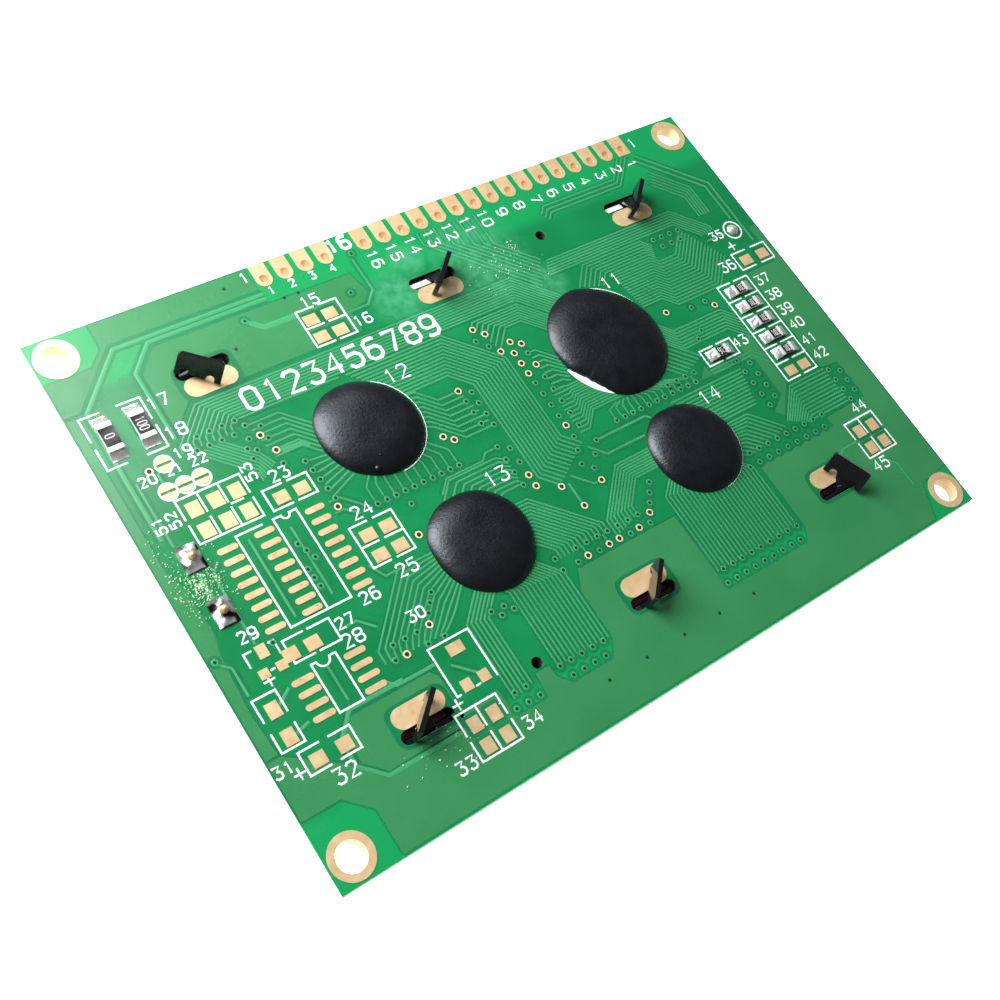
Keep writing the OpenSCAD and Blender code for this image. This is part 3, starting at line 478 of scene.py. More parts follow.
# Rows of covered vias: the first one, the last one and how many
via_rows = [
    (-5.4, 6.3, -5.4, 3.4, 3), (-5.4, 0.3, -5.4, -4.6, 4), (-4.2, 7, -4.2, 2.7, 4),
    (-4.2, -0.4, -4.2, -2.2, 2), (-24.6, 7.5, -24, 2.7, 5), (-20.5, 0.3, -10.4, 0.3, 10),
    (-32.9, 14.4, -28.7, 14.4, 4), (-33.6, 13, -29.5, 13, 4), (-28, 13.5, -26.6, 12.8, 2),
    (-28.4, 12, -28.3, 10.6, 2), (-29.1, 11.1, -29.1, 9.9, 2), (-26.6, 11.3, -26.7, 8.2, 3),
    (3.15, 5, 3.15, 0.5, 4), (4.6, 8.5, 4.6, -1.4, 7), (3.2, -2.3, 2, -5.4, 3), (5.3, -3.75, 3, -6.4, 3),
    (-0.1, 12.1, 0.9, 11, 2), (9, -2.8, 21, -2.8, 11), (17.5, -1.7, 21.6, -1.7, 4),
    (7.7, -10.5, 6.2, -12.5, 3), (-4.5, -13, 4.1, -13, 7), (-7.3, -13, -7.2, -14.4, 2),
    (-5.2, -14.4, -2.3, -14.4, 2), (2, -14.4, 4.8, -14.4, 2), (21.1, -12.9, 33, -12.9, 9),
    (20, -14.3, 32.2, -14.3, 9), (27.7, -2.7, 27.7, -9.1, 5), (29.1, -3.6, 29.1, -8.4, 4),
    (38.1, -8.6, 38.1, -12.9, 4), (39.5, -9.3, 39.5, -12.1, 3), (27.1, 5.5, 29.3, 5.5, 2),
    (26.2, 2.45, 25.1, 1.65, 2), (9, -22.4, 20.3, -22.4, 9), (8.4, -23.9, 19.6, -23.9, 9),
    (-13.6, -22.5, -8, -22.5, 5), (-12.9, -23.9, -8.7, -23.9, 4), (-19.3, -22.5, -17.9, -22.5, 2),
    (-20, -23.9, -17.1, -23.9, 3), (-16.6, -14.6, -15.1, -14.7, 2), (-15.8, -15.4, -14.3, -15.4, 2),
    (-20.9, -10.1, -22.3, -11.8, 3), (-21.9, 24.2, -21.9, 24.2, 1), (-9.6, 22.9, -6.8, 27.3, 2),
    (-27.2, -12.9, -24.4, -12.9, 3), (-27.8, -14.3, -22.2, -14.5, 4), (-42.7, -6.6, -37.1, -7.4, 2),
    (-29.9, 0.1, -29.1, -1.8, 3), (-30.4, -2.6, -30.2, -4.6, 3), (28.7, 15.2, 32.7, 15.2, 4),
    (29.3, 14, 32.2, 14, 3), (-17.4, -1.2, -17.4, -1.2, 1)]
# Vias inside a pour show only a dimple
lone_vias = [(-9.9, -26.1), (-4.9, -26.1), (0.3, -26.1), (5.3, -26.1), (10.3, -26.2), (-21.9, 28.5),
             (-24.4, 21.6), (-16.6, 25.1), (-14.9, 25.1)]
gilded_vias = [
    (-38.8, 12.9), (-27.2, 11.9), (-26.6, 9.8), (-24.3, 1.8), (-5.5, 7.7), (-10.1, 3.8), (-9.2, 3),
    (-18.6, -4.4), (-4.2, -3.9), (-4.2, -5.3), (-1.7, -6.6), (-0.7, -9.5), (2.9, -7.9), (-22.9, -12.8),
    (-26.5, -14.3), (-3.8, -14.3), (-0.9, -14.3), (0.5, -14.3), (3.3, -14.3), (5.5, -13.4), (0.4, 13.5),
    (1.4, 12.5), (3.5, 10.5), (1.8, 9.9), (4.6, 9.8), (3.1, 9.1), (3.1, 7.7), (4.6, 6.9), (3.1, 6.3),
    (3.2, -0.8), (23.6, 6.2), (30.2, 4.6)]


def on_board(piece, lift):
    """Sets a piece that was modelled at zero height lift mm over the bare mask."""
    for vertex in piece.data.vertices:
        vertex.co.z += board_top + lift * mm
    return piece


def drawn(name, lines, closed, **settings):
    """A mesh from a curve with these settings, along lines of points in mm."""
    path = bpy.data.curves.new(name, "CURVE")
    for setting, value in settings.items():
        setattr(path, setting, value)
    for line in lines:
        spline = path.splines.new("POLY")
        spline.points.add(len(line) - 1)
        spline.use_cyclic_u = closed
        for point, (x, y) in zip(spline.points, line):
            point.co = (x * mm, y * mm, 0, 1)
    choose(linked(name, path))
    bpy.ops.object.convert(target="MESH")
    bpy.ops.object.shade_flat()
    return bpy.context.active_object


def ridges(name, lines, width, height, lift):
    """One mesh of low ridges along lines, for tracks and ink."""
    piece = drawn(name, lines, False, dimensions="3D", twist_mode="Z_UP", bevel_depth=width * mm / 2,
                  bevel_resolution=0, use_fill_caps=True)
    for vertex in piece.data.vertices:
        vertex.co.z = max(vertex.co.z, 0) * 2 * height / width
    return on_board(piece, lift)


def plates(name, outlines, thickness, lift):
    """Flat plates inside outlines; an outline within another one is a hole."""
    sheet = drawn(name, outlines, True, dimensions="2D", fill_mode="BOTH", extrude=thickness * mm / 2)
    return on_board(sheet, lift + thickness / 2)


def spread(first, last, count):
    """Points that run evenly from the first to the last."""
    return [tuple(a + (b - a) * k / max(count - 1, 1) for a, b in zip(first, last)) for k in range(count)]


def blend_lines(first, last, count):
    """Lines that run evenly from the first to the last."""
    return [list(line) for line in zip(*(spread(a, b, count) for a, b in zip(first, last)))]


def round_box(x, y, width, height, radius, steps=5):
    """Outline of a box with round corners, by its middle."""
    outline = []
    for turn, (sx, sy) in enumerate([(1, 1), (-1, 1), (-1, -1), (1, -1)]):
        for k in range(steps + 1):
            angle = math.radians(90 * (turn + k / steps))
            outline.append((x + sx * (width / 2 - radius) + radius * math.cos(angle),
                            y + sy * (height / 2 - radius) + radius * math.sin(angle)))
    return outline


def scattered(name, pattern, places, lift):
    """One piece on the board, with a copy of the pattern mesh at each place in mm."""
    gathered = bmesh.new()
    for x, y in places:
        count = len(gathered.verts)
        gathered.from_mesh(pattern)
        gathered.verts.ensure_lookup_table()
        bmesh.ops.translate(gathered, verts=gathered.verts[count:], vec=(x * mm, y * mm, 0))
    made = bpy.data.meshes.new(name)
    gathered.to_mesh(made)
    gathered.free()
    return on_board(linked(name, made), lift)


def vias(name, places, rings, sides, lift=gap_lift):
    """One piece of turned vias: rings of radius and height in mm, from outside in."""
    turns = [math.tau * k / sides for k in range(sides)]
    points = [(r * mm * math.cos(t), r * mm * math.sin(t), z * mm) for r, z in rings for t in turns]
    last = (len(rings) - 1) * sides
    faces = [(a + k, a + (k + 1) % sides, a + sides + (k + 1) % sides, a + sides + k)
             for a in range(0, last, sides) for k in range(sides)]
    pattern = bpy.data.meshes.new("via")
    pattern.from_pydata(points, [], faces + [tuple(range(last, last + sides)), tuple(range(sides))[::-1]])
    return scattered(name, pattern, places, lift)


copper_mask = finish("mask_over_copper", (0.03, 0.22, 0.08), 0.3)
mottle(copper_mask, 9, (0.027, 0.195, 0.066), (0.038, 0.222, 0.08))
relief(copper_mask, 0.35, 0.004)
relief(copper_mask, 0.08, 0.0012)
gloss(copper_mask, 3, 0.22, 0.32)
track_mask = finish("mask_over_tracks", (0.045, 0.29, 0.115), 0.3)
mottle(track_mask, 6, (0.036, 0.255, 0.095), (0.052, 0.315, 0.125))
relief(track_mask, 0.3, 0.003)
stained(track_mask, (0.085, 0.37, 0.19))
gap_mask = finish("mask_in_gaps", (0.006, 0.14, 0.052), 0.3)
mottle(gap_mask, 5, (0.004, 0.125, 0.044), (0.008, 0.165, 0.06))
# Painted light: the gaps are brightened beyond the bezel's skirt, for the floor's light shining through the
# laminate
painted_glow_through(gap_mask, (0.006, 0.18, 0.06))
stained(gap_mask, (0.035, 0.27, 0.125))
relief(gap_mask, 0.3, 0.004)

ringed_slots = [(-28.5, 20.05), (-28.5, -20.05), (0, -20.05), (28.5, -20.05)]
slot_size, rim_size = (6.1, 3.6, 0.75), (6.9, 4.4, 1.15)      # width, height and corner in mm
slot_holes = [round_box(x, y, *slot_size) for x, y in ringed_slots]
slot_rims = [round_box(x, y, *rim_size) for x, y in ringed_slots]
pour_edges = [outline + outline[:1] for outline in pours]
dress(plates("poured_copper", pours + slot_holes, pour_thickness, pour_lift), copper_mask)
dress(ridges("pour_edges", pour_edges, pour_edge, film, pour_lift), gap_mask)
dress(plates("slot_gaps", slot_rims + slot_holes, film, clearing_lift), gap_mask)

# Bare pads inside a pour, which stops short of them: middle, width and height in mm
pads_in_pours = [(x, y, 1.6, 1.3) for x in (-15.4, -13.1) for y in (19.35, 21.6)]
pads_in_pours += [(x, y, 1.3, 1.5) for x in (-24.5, -22.2) for y in (-25.45, -23.15)]
pads_in_pours += [(x, y, 1.3, 1.45) for x in (36, 38.25) for y in (-19.05, -16.75)]
pads_in_pours += [(41.3, 8.15, 1.6, 1.3)]
pad_clearance, cleared_corner = 0.35, 0.3
cleared = [round_box(x, y, wide + 2 * pad_clearance, tall + 2 * pad_clearance, cleared_corner)
           for x, y, wide, tall in pads_in_pours]
dress(plates("pad_clearances", cleared, film, clearing_lift), gap_mask)

bundled = [line for first, last, count in bundles for line in blend_lines(first, last, count)]
dress(ridges("track_gaps", bundled, gap_width, gap_height, gap_lift), gap_mask)
dress(ridges("tracks", bundled, track_width, track_height, gap_lift), track_mask)
for number, (width, lines) in enumerate(wide_tracks.items(), 1):
    dress(ridges(f"wide_gaps_{number}", lines, width + wide_gap_margin, gap_height, gap_lift), gap_mask)
    dress(ridges(f"wide_tracks_{number}", lines, width, track_height, gap_lift), track_mask)

# Covered vias keep clear of gilded ones. Near gaps overlap, so their heights differ a little
via_spacing, via_heights = 0.6, 4
covered = [place for x, y, a, b, count in via_rows for place in spread((x, y), (a, b), count)
           if min(math.dist(place, other) for other in gilded_vias) > via_spacing]
for number in range(via_heights):
    gaps = vias(f"via_gaps_{number + 1}", (covered + gilded_vias)[number::via_heights],
                [(0.66, 0), (0.65, 0.0012)], 16, gap_lift + film * (number + 1))
    dress(gaps, gap_mask)
via_collar, bore = [(0.36, 0), (0.3, 0.014), (0.2, 0.018), (0.11, 0.01)], [(0.18, 0), (0.17, 0.025)]
dress(vias("covered_vias", covered, via_collar, 12), track_mask)
# Painted shade: a near-black disc over each covered via stands for the shade in the dimple and the hole
# under the mask
dimple_shade = finish("via_dimple", (0.002, 0.03, 0.014), 0.3)
mottle(dimple_shade, 0.5, (0.001, 0.02, 0.01), (0.004, 0.04, 0.02))
dress(vias("via_dimples", covered + lone_vias, bore, 12), dimple_shade)

# Gilded pads: copper under nickel and a flash of gold, in rings, rows and single lands.
# The gold is worn in patches, and it is thinner and duller on the collars of the vias.
gold_pale = (0.84, 0.6, 0.34)
gilding = finish("gilded_pad", gold_pale, 0.34, 0.4)
mottle(gilding, 1.6, (0.74, 0.51, 0.27), (0.83, 0.62, 0.37))
relief(gilding, 0.35, 0.006)
relief(gilding, 0.06, 0.0015)
gloss(gilding, 0.8, 0.26, 0.44)
redress(("mounting_rings", "row_pads", "bus_pads", "tab_pads", "part_pads", "jumper_pads"), gilding)

thin_gilding = finish("gilded_via", (0.7, 0.66, 0.36), 0.4, 0.2)
mottle(thin_gilding, 0.8, (0.6, 0.58, 0.3), (0.78, 0.74, 0.44))
relief(thin_gilding, 0.2, 0.004)
gold_collar, gold_bore = [(0.41, 0), (0.4, 0.03), (0.25, 0.036), (0.23, 0.005)], [(0.235, 0), (0.23, 0.03)]
dress(vias("gilded_vias", gilded_vias, gold_collar, 20), thin_gilding)
# Painted shade: a near-black disc in each gilded via's hole stands for the dark inside of the plated bore
via_bore_shade = finish("via_bore_shade", (0.012, 0.009, 0.006), 0.6)
mottle(via_bore_shade, 0.2, (0.006, 0.004, 0.003), (0.02, 0.014, 0.009))
dress(vias("via_bores", gilded_vias, gold_bore, 20), via_bore_shade)

# White ink: screen printed frames round the parts. The rings round the chip covers were
# printed as thinner arcs, and a crescent of one ring lies bare beside the first cover.
ink = finish("white_ink", (0.8, 0.88, 0.82), 0.55)
tint(ink, grain(ink, 0.3), (0.25, (0.66, 0.78, 0.7)), (0.6, (0.86, 0.92, 0.87)))
relief(ink, 0.1, 0.002)
ink_round = 0.01 * mm
printed = softened("printed_lines", "printed_frames", ink_round, 1)
wide_band, band = (6.7, 7.6), (5.3, 6.1)
ring_bands = {(14.3, 6.1): wide_band, (-16.5, 8): band, (15.4, -9.3): band, (-12.9, -7.9): band}
choose(printed)
for vertex in printed.data.vertices:
    place = (vertex.co.x / mm, vertex.co.y / mm)
    vertex.select = any(low < math.dist(place, middle) < high for middle, (low, high) in ring_bands.items())
bpy.ops.object.mode_set(mode="EDIT")
bpy.ops.mesh.delete(type="VERT")
bpy.ops.object.mode_set(mode="OBJECT")
dress(printed, ink)


def arc(x, y, radius, start, end, steps=40):
    """Points along part of a circle, in mm and degrees."""
    turns = [math.radians(start + (end - start) * k / steps) for k in range(steps + 1)]
    return [(x + radius * math.cos(t), y + radius * math.sin(t)) for t in turns]


crescent = arc(14.3, 6.1, 6.95, 191, 243) + arc(14.3, 6.1, 6.0, 243, 191)
dress(plates("crescent_of_ink", [crescent], 0.02, 0.03), ink)
thin_rings = [arc(14.3, 6.1, 6.95, 25, 80), arc(-16.18, 7.74, 5.5, -88, 62),
              arc(15.66, -9.55, 5.46, -88, 52)]
dress(ridges("rings_round_domes", thin_rings, 0.1, 0.012, 0.01), ink)

# Printed numbers: plain digits in white ink, for the pins and the parts. Each digit is a
# single stroke on a grid, with its lower left corner at zero.
digit_strokes = {
    "0": [(1, 0), (0, 1), (0, 5), (1, 6), (3, 6), (4, 5), (4, 1), (3, 0), (1, 0)],
    "1": [(1, 4.8), (2.2, 6), (2.2, 0)],
    "2": [(0, 5), (1, 6), (3, 6), (4, 5), (4, 4), (0, 0), (4, 0)],
    "3": [(0, 6), (4, 6), (2, 3.6), (3, 3.6), (4, 2.6), (4, 1), (3, 0), (1, 0), (0, 1)],
    "4": [(3, 0), (3, 6), (0, 2), (4, 2)],
    "5": [(4, 6), (0.4, 6), (0.2, 3.4), (1, 3.8), (3, 3.8), (4, 2.8), (4, 1), (3, 0), (1, 0), (0, 1)],
    "6": [(3.6, 5.6), (3, 6), (1, 6), (0, 5), (0, 1), (1, 0), (3, 0), (4, 1), (4, 2.6), (3, 3.6), (1, 3.6),
          (0, 2.6)],
    "7": [(0, 6), (4, 6), (1.4, 0)],
    "8": [(1, 3.2), (0, 4), (0, 5.2), (1, 6), (3, 6), (4, 5.2), (4, 4), (3, 3.2), (1, 3.2), (0, 2.4),
          (0, 0.9), (1, 0), (3, 0), (4, 0.9), (4, 2.4), (3, 3.2)],
    "9": [(0.4, 0.4), (1, 0), (3, 0), (4, 1), (4, 5), (3, 6), (1, 6), (0, 5), (0, 3.4), (1, 2.4), (3, 2.4),
          (4, 3.4)]}
digit_step, digit_wide, digit_tall = 6, 4, 6


def written(text, x, y, height, turn=0, narrow=1):
    """The strokes of a number, by its middle, its height in mm and its turn in degrees."""
    unit = height / digit_tall
    width = (digit_step * (len(text) - 1) + digit_wide) * unit * narrow
    swing = math.radians(turn)
    lines = []
    for place, digit in enumerate(text):
        flat = [((place * digit_step + a) * unit * narrow - width / 2, b * unit - height / 2)
                for a, b in digit_strokes[digit]]
        lines.append([(x + a * math.cos(swing) - b * math.sin(swing),
                       y + a * math.sin(swing) + b * math.cos(swing)) for a, b in flat])
    return lines


# Middle and height of each number in mm
part_numbers = [
    (19.8, 12.5, 1.5), (-10.5, 12.3, 1.6), (-7.5, -2.5, 1.6), (21.4, -4.9, 1.6), (-14.3, 23.8, 1.2),
    (-10.2, 19.5, 1.2), (-34.4, 19.4, 1.3), (-34.4, 15.8, 1.3), (-34.9, 13.5, 1.1), (-39.4, 12.1, 1),
    (-36.6, 12.15, 0.9), (-34, 12.15, 1), (-27.7, 7.4, 1.2), (-22.4, 0.4, 1.3), (-21.6, -6.8, 1.3),
    (-26.5, -7.6, 1.2), (-30, -8.7, 1.1), (-30.2, -10.5, 1.3), (-38.8, -5.7, 1.1), (-23.5, -11.3, 1.1),
    (-42.35, -18.1, 1.1), (-37.5, -21, 1.4), (-27.4, -26, 1.2), (-19.2, -25.5, 1.2), (37.1, 12.6, 1.1),
    (35.5, 8.4, 1.3), (38.7, 5.1, 1.2), (38.7, 2.8, 1.2), (38.7, 0.5, 1.2), (38.7, -1.7, 1.2),
    (38.7, -4.1, 1.2), (38.7, -6.3, 1.2), (29.9, -0.7, 1.2), (38.3, -14.1, 1.2), (35.6, -21.2, 1.3)]
upright_numbers = [(-40.7, 7.4, 1), (-39.25, 7.4, 1), (-30.3, 8.8, 1.1)]
pin_pitch, long_row, short_row = 2.54, (33.4, 25.7), (-9.75, 26.45)
ink_lift, small_pen, large_pen = 0.012, (0.22, 0.016), (0.42, 0.018)      # pens: width and height
small_strokes = []
for place, (x, y, height) in enumerate(part_numbers):
    small_strokes += written(str(place + 11), x, y, height)
for place, (x, y, height) in enumerate(upright_numbers):
    small_strokes += written(str(place + 51), x, y, height, 90)
for pin in range(16):
    small_strokes += written(str(pin + 1), long_row[0] - pin_pitch * pin, long_row[1], 1.3, -90)
for pin in range(4):
    small_strokes += written(str(4 - pin), short_row[0] - pin_pitch * pin, short_row[1], 0.9)
small_strokes += written("1", 35.4, 28.3, 1.3) + written("1", -19.3, 28.9, 1.2)
large_strokes = written("16", -7.6, 28.9, 1.6) + written("0123456789", -14.85, 15.95, 2.45)
dress(ridges("small_numbers", small_strokes, *small_pen, ink_lift), ink)
dress(ridges("large_numbers", large_strokes, *large_pen, ink_lift), ink)

# Chip covers: black epoxy, dripped on each bonded chip and cured. It creeps to a rounded
# outline that is never a true circle and, at one place, stops short of the printed ring.
resin = finish("black_epoxy", (0.006, 0.006, 0.008), 0.34, Specular_IOR_Level=0.58,
               Specular_Tint=(0.84, 0.93, 1, 1))
mottle(resin, 1.2, (0.002, 0.002, 0.0035), (0.005, 0.005, 0.0075))
relief(resin, 0.32, 0.03)
relief(resin, 0.12, 0.012)
gloss(resin, 2, 0.32, 0.42)

lump_size, lump_share = 3.5 * mm, 0.05
flatness, steepness = 3.4, 0.6      # of the cover's top and of its rim
# How far each cover's edge lies from its node's circle, in degrees and mm
creeps = {
    1: [(0, 0.04), (30, -0.2), (45, -0.28), (60, -0.27), (75, -0.08), (90, 0.2), (120, 0.1), (150, 0),
        (165, -0.12), (180, -0.3), (192, -0.4), (201, -0.72), (207, -0.86), (211, -1.02), (215, -0.8),
        (219, -0.92), (224, -0.76), (230, -0.66), (236, -0.34), (242, -0.06), (255, 0.12), (270, 0.16),
        (285, 0.27), (300, 0.34), (315, 0.3), (330, 0.24), (345, 0.12)],
    2: [(0, -0.1), (30, -0.26), (60, -0.38), (90, -0.22), (105, -0.06), (120, 0.14), (150, 0.32), (180, 0.1),
        (210, 0), (240, -0.14), (270, -0.12), (300, 0.02), (330, 0.04)],
    3: [(0, -0.1), (30, -0.26), (60, -0.4), (90, -0.44), (120, -0.14), (150, -0.06), (180, -0.18),
        (210, -0.1), (240, -0.02), (270, -0.1), (300, 0.02), (330, 0.04)],
    4: [(0, -0.16), (30, -0.14), (60, -0.1), (90, -0.18), (120, 0.06), (150, 0.26), (180, -0.06),
        (210, -0.04), (240, -0.08), (270, -0.08), (300, -0.18), (330, -0.3)]}


def creep_at(creep, turn):
    """The edge's distance from the circle at a turn in degrees, eased between the marks."""
    marks = creep + [(creep[0][0] + 360, creep[0][1])]
    for (start, first), (end, last) in zip(marks, marks[1:]):
        if start <= turn <= end:
            share = (turn - start) / (end - start)
            return first + (last - first) * share * share * (3 - 2 * share)
    return 0


def ball(name, middle, radius, segments, rings):
    """A sphere by its middle and radius."""
    bpy.ops.mesh.primitive_uv_sphere_add(segments=segments, ring_count=rings, radius=radius, location=middle)
    made = bpy.context.active_object
    made.name = name
    bpy.ops.object.transform_apply()
    return made


def resin_cover(node, name, creep, seed):
    """A cover in the node's place: flat-topped, steep at the rim, uneven all round."""
    low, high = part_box(node)
    radius = (high.x - low.x) / 2
    centre = (low + high) / 2
    piece = ball(name, (centre.x, centre.y, low.z), radius, 120, 48)
    opened()
    bpy.ops.mesh.bisect(plane_co=low, plane_no=(0, 0, 1), clear_inner=True, use_fill=True)
    bpy.ops.object.mode_set(mode="OBJECT")
    for vertex in piece.data.vertices:
        out = Vector((vertex.co.x - centre.x, vertex.co.y - centre.y))
        share = min(out.length / radius, 1.0)
        turn = math.degrees(math.atan2(out.y, out.x)) % 360
        spread_out = 1 + creep_at(creep, turn) * mm / radius * share ** 3
        lump = noise.noise(Vector((out.x, out.y, seed)) / lump_size)
        rise = (1 - share ** flatness) ** steepness * (high.z - low.z) * (1 - lump_share + lump_share * lump)
        vertex.co = (centre.x + out.x * spread_out, centre.y + out.y * spread_out,
                     low.z + (rise if vertex.co.z > low.z + 1e-7 else 0))
    bpy.ops.object.shade_smooth_by_angle(angle=math.radians(60))
    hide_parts(node)
    dress(piece, resin)


for number, creep in creeps.items():
    resin_cover(f"chip_dome_{number}", f"resin_cover_{number}", creep, 7.3 * number)

# Two bubbles froze near the rim of the second cover: middle, rise and radius in mm
bubbles = [(-18.75, 3.45, 0.72, 0.3), (-17.85, 4.45, 1.16, 0.13)]
for number, (x, y, rise, radius) in enumerate(bubbles, 1):
    bubble = ball(f"resin_bubble_{number}", (x * mm, y * mm, board_top + rise * mm), radius * mm, 24, 12)
    bpy.ops.object.shade_smooth()
    dress(bubble, resin)

# Chip resistors: white ceramic with a black glaze on top, tinned ends and a printed code,
# which is here only a plain number.
glaze = finish("black_glaze", (0.012, 0.012, 0.014), 0.35)
mottle(glaze, 0.4, (0.008, 0.008, 0.01), (0.02, 0.02, 0.022))
tinned = finish("tinned_cap", (0.88, 0.86, 0.84), 0.34, 0.35)
mottle(tinned, 0.3, (0.8, 0.78, 0.76), (0.94, 0.92, 0.91))
relief(tinned, 0.15, 0.005)
ceramic = finish("white_ceramic", (0.6, 0.58, 0.56), 0.5)
mottle(ceramic, 0.2, (0.5, 0.48, 0.46), (0.68, 0.66, 0.64))
code_ink = finish("code_ink", (0.6, 0.58, 0.56), 0.5)
mottle(code_ink, 0.1, (0.5, 0.48, 0.46), (0.66, 0.64, 0.62))
small_chips = [f"ladder_resistor_{k}" for k in range(1, 6)] + ["timing_resistor"]
lamp_chips = ["lamp_resistor_1", "lamp_resistor_2"]
chip_codes = ["103"] * 5 + ["913", "0", "100"]
# For the chips along X and along Y: the tin at their ends, and their codes' height, turn and narrowing
end_lengths = ((0.5 * mm, 0.3 * mm), (0.55 * mm, 0.55 * mm))
code_shapes = ((0.82, 0, 0.42), (0.95, -90, 0.55))
code_shift, chip_round = (0.1, 0), 0.04 * mm
codes = []
for node, code in zip(small_chips + lamp_chips, chip_codes):
    along = int(node in lamp_chips)
    piece = softened(node, node.replace("resistor", "chip"), chip_round)
    low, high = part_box(node)
    middle = (low + high) / 2 / mm
    ends = (low[along] + end_lengths[along][0], high[along] - end_lengths[along][1])
    dress(piece, glaze)
    piece.data.materials.append(tinned)
    piece.data.materials.append(ceramic)
    choose(piece)
    bpy.ops.object.mode_set(mode="EDIT")
    plane = Vector((1 - along, along, 0))
    for end in ends:
        bpy.ops.mesh.select_all(action="SELECT")
        bpy.ops.mesh.bisect(plane_co=plane * end, plane_no=plane)
    bpy.ops.object.mode_set(mode="OBJECT")
    for face in piece.data.polygons:
        if not ends[0] <= face.center[along] <= ends[1]:
            face.material_index = 1
        elif face.normal.z < upright:
            face.material_index = 2
    strokes = written(code, middle.x + code_shift[along], middle.y, *code_shapes[along])
    codes.append((node.replace("resistor", "code"), strokes, 0.11, 0.01, (high.z - board_top) / mm))
for drawing in codes:
    dress(ridges(*drawing), code_ink)

# Solder: bright tin alloy, wetted over the resistors' lands and up their ends, round the
# lamp pins and over the bridged pad. Each joint froze in a shape of its own.
solder = finish("bright_solder", (0.88, 0.86, 0.84), 0.2, 0.75)
mottle(solder, 0.4, (0.8, 0.78, 0.76), (0.95, 0.93, 0.92))
relief(solder, 0.5, 0.05)
relief(solder, 0.12, 0.008)
gloss(solder, 0.7, 0.14, 0.3)
# How far a joint creeps past its land in mm, and how rough and how low it may be
wetting, rough_size, roughening, least = 0.04, 0.45 * mm, 0.1, 0.08


def joint(low, high, height, rise):
    """A lump of solder between two corners in mm, shaped by rise(across, along)."""
    middle = [(a + b) / 2 * mm for a, b in zip(low, high)]
    size = [(b - a) * mm for a, b in zip(low, high)]
    piece = block("joint", (*middle, board_top + height * mm / 2), (*size, height * mm))
    opened()
    bpy.ops.mesh.subdivide(number_cuts=9)
    bpy.ops.object.mode_set(mode="OBJECT")
    for vertex in piece.data.vertices:
        share = [min(max((vertex.co[k] / mm - low[k]) / (high[k] - low[k]), 0), 1) for k in (0, 1)]
        rough = roughening * noise.noise(Vector((vertex.co.x, vertex.co.y, 0)) / rough_size)
        tall = max(rise(*share) * (1 + rough * 2) + rough * 0.3, least)
        vertex.co.z = board_top + (vertex.co.z - board_top) * tall
    bpy.ops.object.shade_smooth_by_angle(angle=math.radians(50))
    return piece


def gathered(pieces, name, node, made):
    """Joins pieces into one that stands for a node."""
    choose(pieces[0])
    for piece in pieces:
        piece.select_set(True)
    bpy.ops.object.join()
    pieces[0].name = name
    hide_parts(node)
    dress(pieces[0], made)


def wetted(share, side, full):
    """Height of a joint from its land's outer edge, 0, to the chip's end, 1."""
    return (0.12 + 0.88 * share ** full) * (1 - 0.3 * abs(2 * side - 1) ** 4)


# For the chips along X and along Y: how far a joint reaches, and how full it is at either end
reaches, fullness, overlap = (0.88, 0.87), ((0.7, 2.2), (1.7, 1.7)), 0.03
chip_joints = []
for node in small_chips + lamp_chips:
    low, high = (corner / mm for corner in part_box(node))
    along = int(node in lamp_chips)
    tall = (high.z - board_top / mm) * 0.95
    first = (low[along] - reaches[along], low[along] + overlap)
    last = (high[along] - overlap, high[along] + reaches[along])
    for flip, (start, end) in enumerate((first, last)):
        corners = [[low.x - wetting, low.y - wetting], [high.x + wetting, high.y + wetting]]
        corners[0][along], corners[1][along] = start, end
        full = fullness[along][flip]
        chip_joints.append(joint(*corners, tall, lambda *at, flip=flip, along=along, full=full:
                                 wetted(1 - at[along] if flip else at[along], at[1 - along], full)))
gathered(chip_joints, "chip_joints", "resistor_solder", solder)


def heaped(u, v):
    """Height of a pin's joint: a hollow-sided heap with one corner drawn up and one let down."""
    x, y = 2 * u - 1, 2 * v - 1
    heap = max(1 - (abs(x) ** 2.6 + abs(y) ** 2.6) ** 0.38, 0) ** 1.3
    return 0.2 + 0.8 * heap + 0.3 * max(-x, 0) * max(y, 0) - 0.16 * math.sin(3 * y + 1) * (1 - x * x)


heap_reach, heap_height = (1.06, 1.38), 0.7
pin_solder = finish("hand_solder", (0.9, 0.88, 0.87), 0.24, 0.85)
# Painted reflection: the near-black patches in the solder's colour stand in for the dark surroundings that
# the shiny joints reflect; the pale patches are the solder's own colour
tint(pin_solder, grain(pin_solder, 1.1, 0.6), (0.42, (0.025, 0.02, 0.022)), (0.48, (0.55, 0.52, 0.52)),
     (0.6, (0.96, 0.94, 0.94)))
relief(pin_solder, 0.9, 0.16, 0.5)
gloss(pin_solder, 0.6, 0.18, 0.32)
pin_joints = []
for node in lamp_leads:
    low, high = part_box(node)
    middle = (low + high) / 2 / mm
    pin_joints.append(joint((middle.x - heap_reach[0], middle.y - heap_reach[1]),
                            (middle.x + heap_reach[0], middle.y + heap_reach[1]), heap_height, heaped))
gathered(pin_joints, "pin_joints", "lead_solder", pin_solder)
redress(["jumper_solder"], solder)

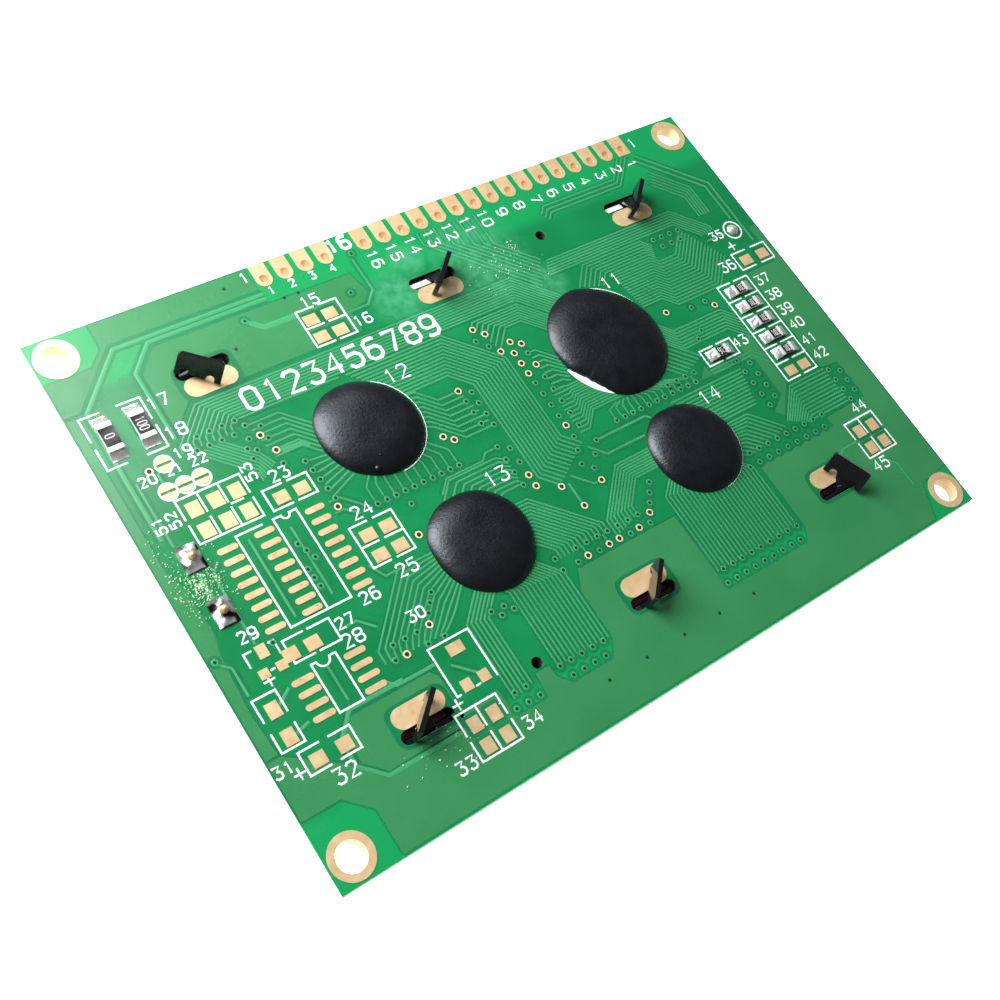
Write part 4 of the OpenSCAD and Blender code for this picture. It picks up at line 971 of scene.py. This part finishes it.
# A drop hangs over the end of each pin: flat on top, longer below and bent a little
tip_radius, tip_inset, tip_above, tip_below, tip_bend = [k * mm for k in (0.42, 0.2, 0.46, 0.7, 0.07)]
for node in lamp_leads:
    low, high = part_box(node)
    middle = ((low.x + high.x) / 2, (low.y + high.y) / 2, high.z - tip_inset)
    tip = ball(node.replace("lead", "tip"), middle, tip_radius, 32, 16)
    for vertex in tip.data.vertices:
        rise = (vertex.co.z - middle[2]) / tip_radius
        vertex.co.z = middle[2] + (tip_above if rise > 0 else tip_below) * rise
        vertex.co.x += tip_bend * math.sin(2.4 * rise)
    bpy.ops.object.shade_smooth()
    dress(tip, pin_wire)

# Flux: dried specks round the joints that were soldered by hand. None lie on the row of
# pads or on two bare lands, which were wiped.
flux = finish("dried_flux", (0.5, 0.66, 0.4), 0.3)
mottle(flux, 0.6, (0.3, 0.52, 0.22), (0.7, 0.8, 0.6))
random.seed(11)
# Middle, spread across and along in mm, and how many
spatter = [(-41.2, 0.5, 1.1, 1.7, 210), (-39.9, 0.6, 0.7, 0.8, 150), (-38.4, 0.2, 0.4, 1.4, 60),
           (7.5, 19.2, 2.4, 1.3, 60), (11.4, 21.4, 0.3, 0.9, 24), (-42.2, 5, 0.5, 1.2, 30),
           (-27.5, -23.8, 3.2, 1.2, 50), (-37.3, 4.4, 0.4, 1, 14)]
bare_lands, land_reach = [(-39.6, 3.56), (-39.7, -2.64)], (1.2, 1.5)
left_limit, pad_row, row_reach, speck_lift = -43, 23.4, 1, 0.01
for size in (0.04, 0.06, 0.09):
    specks = []
    for x, y, wide, tall, count in spatter:
        for _ in range(count // 3):
            place = (random.gauss(x, wide), random.gauss(y, tall))
            if (place[0] > left_limit and abs(place[1] - pad_row) > row_reach
                    and all(abs(place[0] - a) > land_reach[0] or abs(place[1] - b) > land_reach[1]
                            for a, b in bare_lands)):
                specks.append(place)
    bpy.ops.mesh.primitive_ico_sphere_add(subdivisions=1, radius=size * mm)
    speck = bpy.context.active_object
    dress(scattered(f"flux_specks_{round(size * 100)}", speck.data, specks, speck_lift), flux)
    bpy.data.objects.remove(speck)

# Floor, lights and camera. The module lies on a sheet of white paper that is lit so brightly
# that it shows no shade. The room is dim, so the black finishes stay black. A large soft light
# stands low at the back left, a weaker one over the table and a small one near the left corner.
floor_low = cad_box[0][2]
bpy.ops.mesh.primitive_plane_add(size=6, location=(0, 0, floor_low))
floor = bpy.context.active_object
floor.name = "floor"
floor.data.materials.append(finish("white_floor", (0.9, 0.9, 0.9), 0.7, Emission_Color=(1, 1, 1, 1),
                                   Emission_Strength=0.95))

world = bpy.data.worlds.new("studio")
bpy.context.scene.world = world
world.use_nodes = True
backdrop = world.node_tree.nodes["Background"].inputs
backdrop["Color"].default_value = (0.9, 0.95, 1, 1)
backdrop["Strength"].default_value = 0.11


def soft_light(name, place, target, size, power):
    """A rectangular light at a place, aimed at a target, with its power in watts."""
    bpy.ops.object.light_add(type="AREA", location=place)
    lamp = bpy.context.active_object
    lamp.name = name
    lamp.data.shape = "RECTANGLE"
    lamp.data.size, lamp.data.size_y = size
    lamp.data.energy = power
    lamp.visible_camera = False
    lamp.rotation_euler = (Vector(target) - Vector(place)).to_track_quat("-Z", "Y").to_euler()


soft_light("back_left", (-0.235, 0.27, 0.235), (-0.02, 0, 0), (0.32, 0.36), 4.6)
soft_light("near_corner", (-0.04, 0.046, 0.064), (-0.034, 0.032, 0.01), (0.045, 0.045), 0.026)
soft_light("overhead", (0.05, 0.31, 0.42), (-0.02, 0, 0), (0.22, 0.16), 0.45)

camera_place = Vector((-82.59, -39.66, 136.32)) * mm
camera_forward = Vector((0.51216, 0.27680, -0.81307)).normalized()
camera_up = Vector((0.36024, 0.79013, 0.49591)).normalized()
camera_data = bpy.data.cameras.new("camera")
camera_data.sensor_width = 36
camera_data.lens = 53.1
camera_data.shift_x = 0.0013
camera_data.shift_y = -0.0835
camera_data.clip_start = 0.005
camera = linked("camera", camera_data)
camera_side = camera_forward.cross(camera_up)
camera.matrix_world = Matrix.Translation(camera_place) @ Matrix(
    (camera_side, camera_up, -camera_forward)).transposed().to_4x4()
bpy.context.scene.camera = camera
bpy.context.scene.view_settings.view_transform = "Standard"
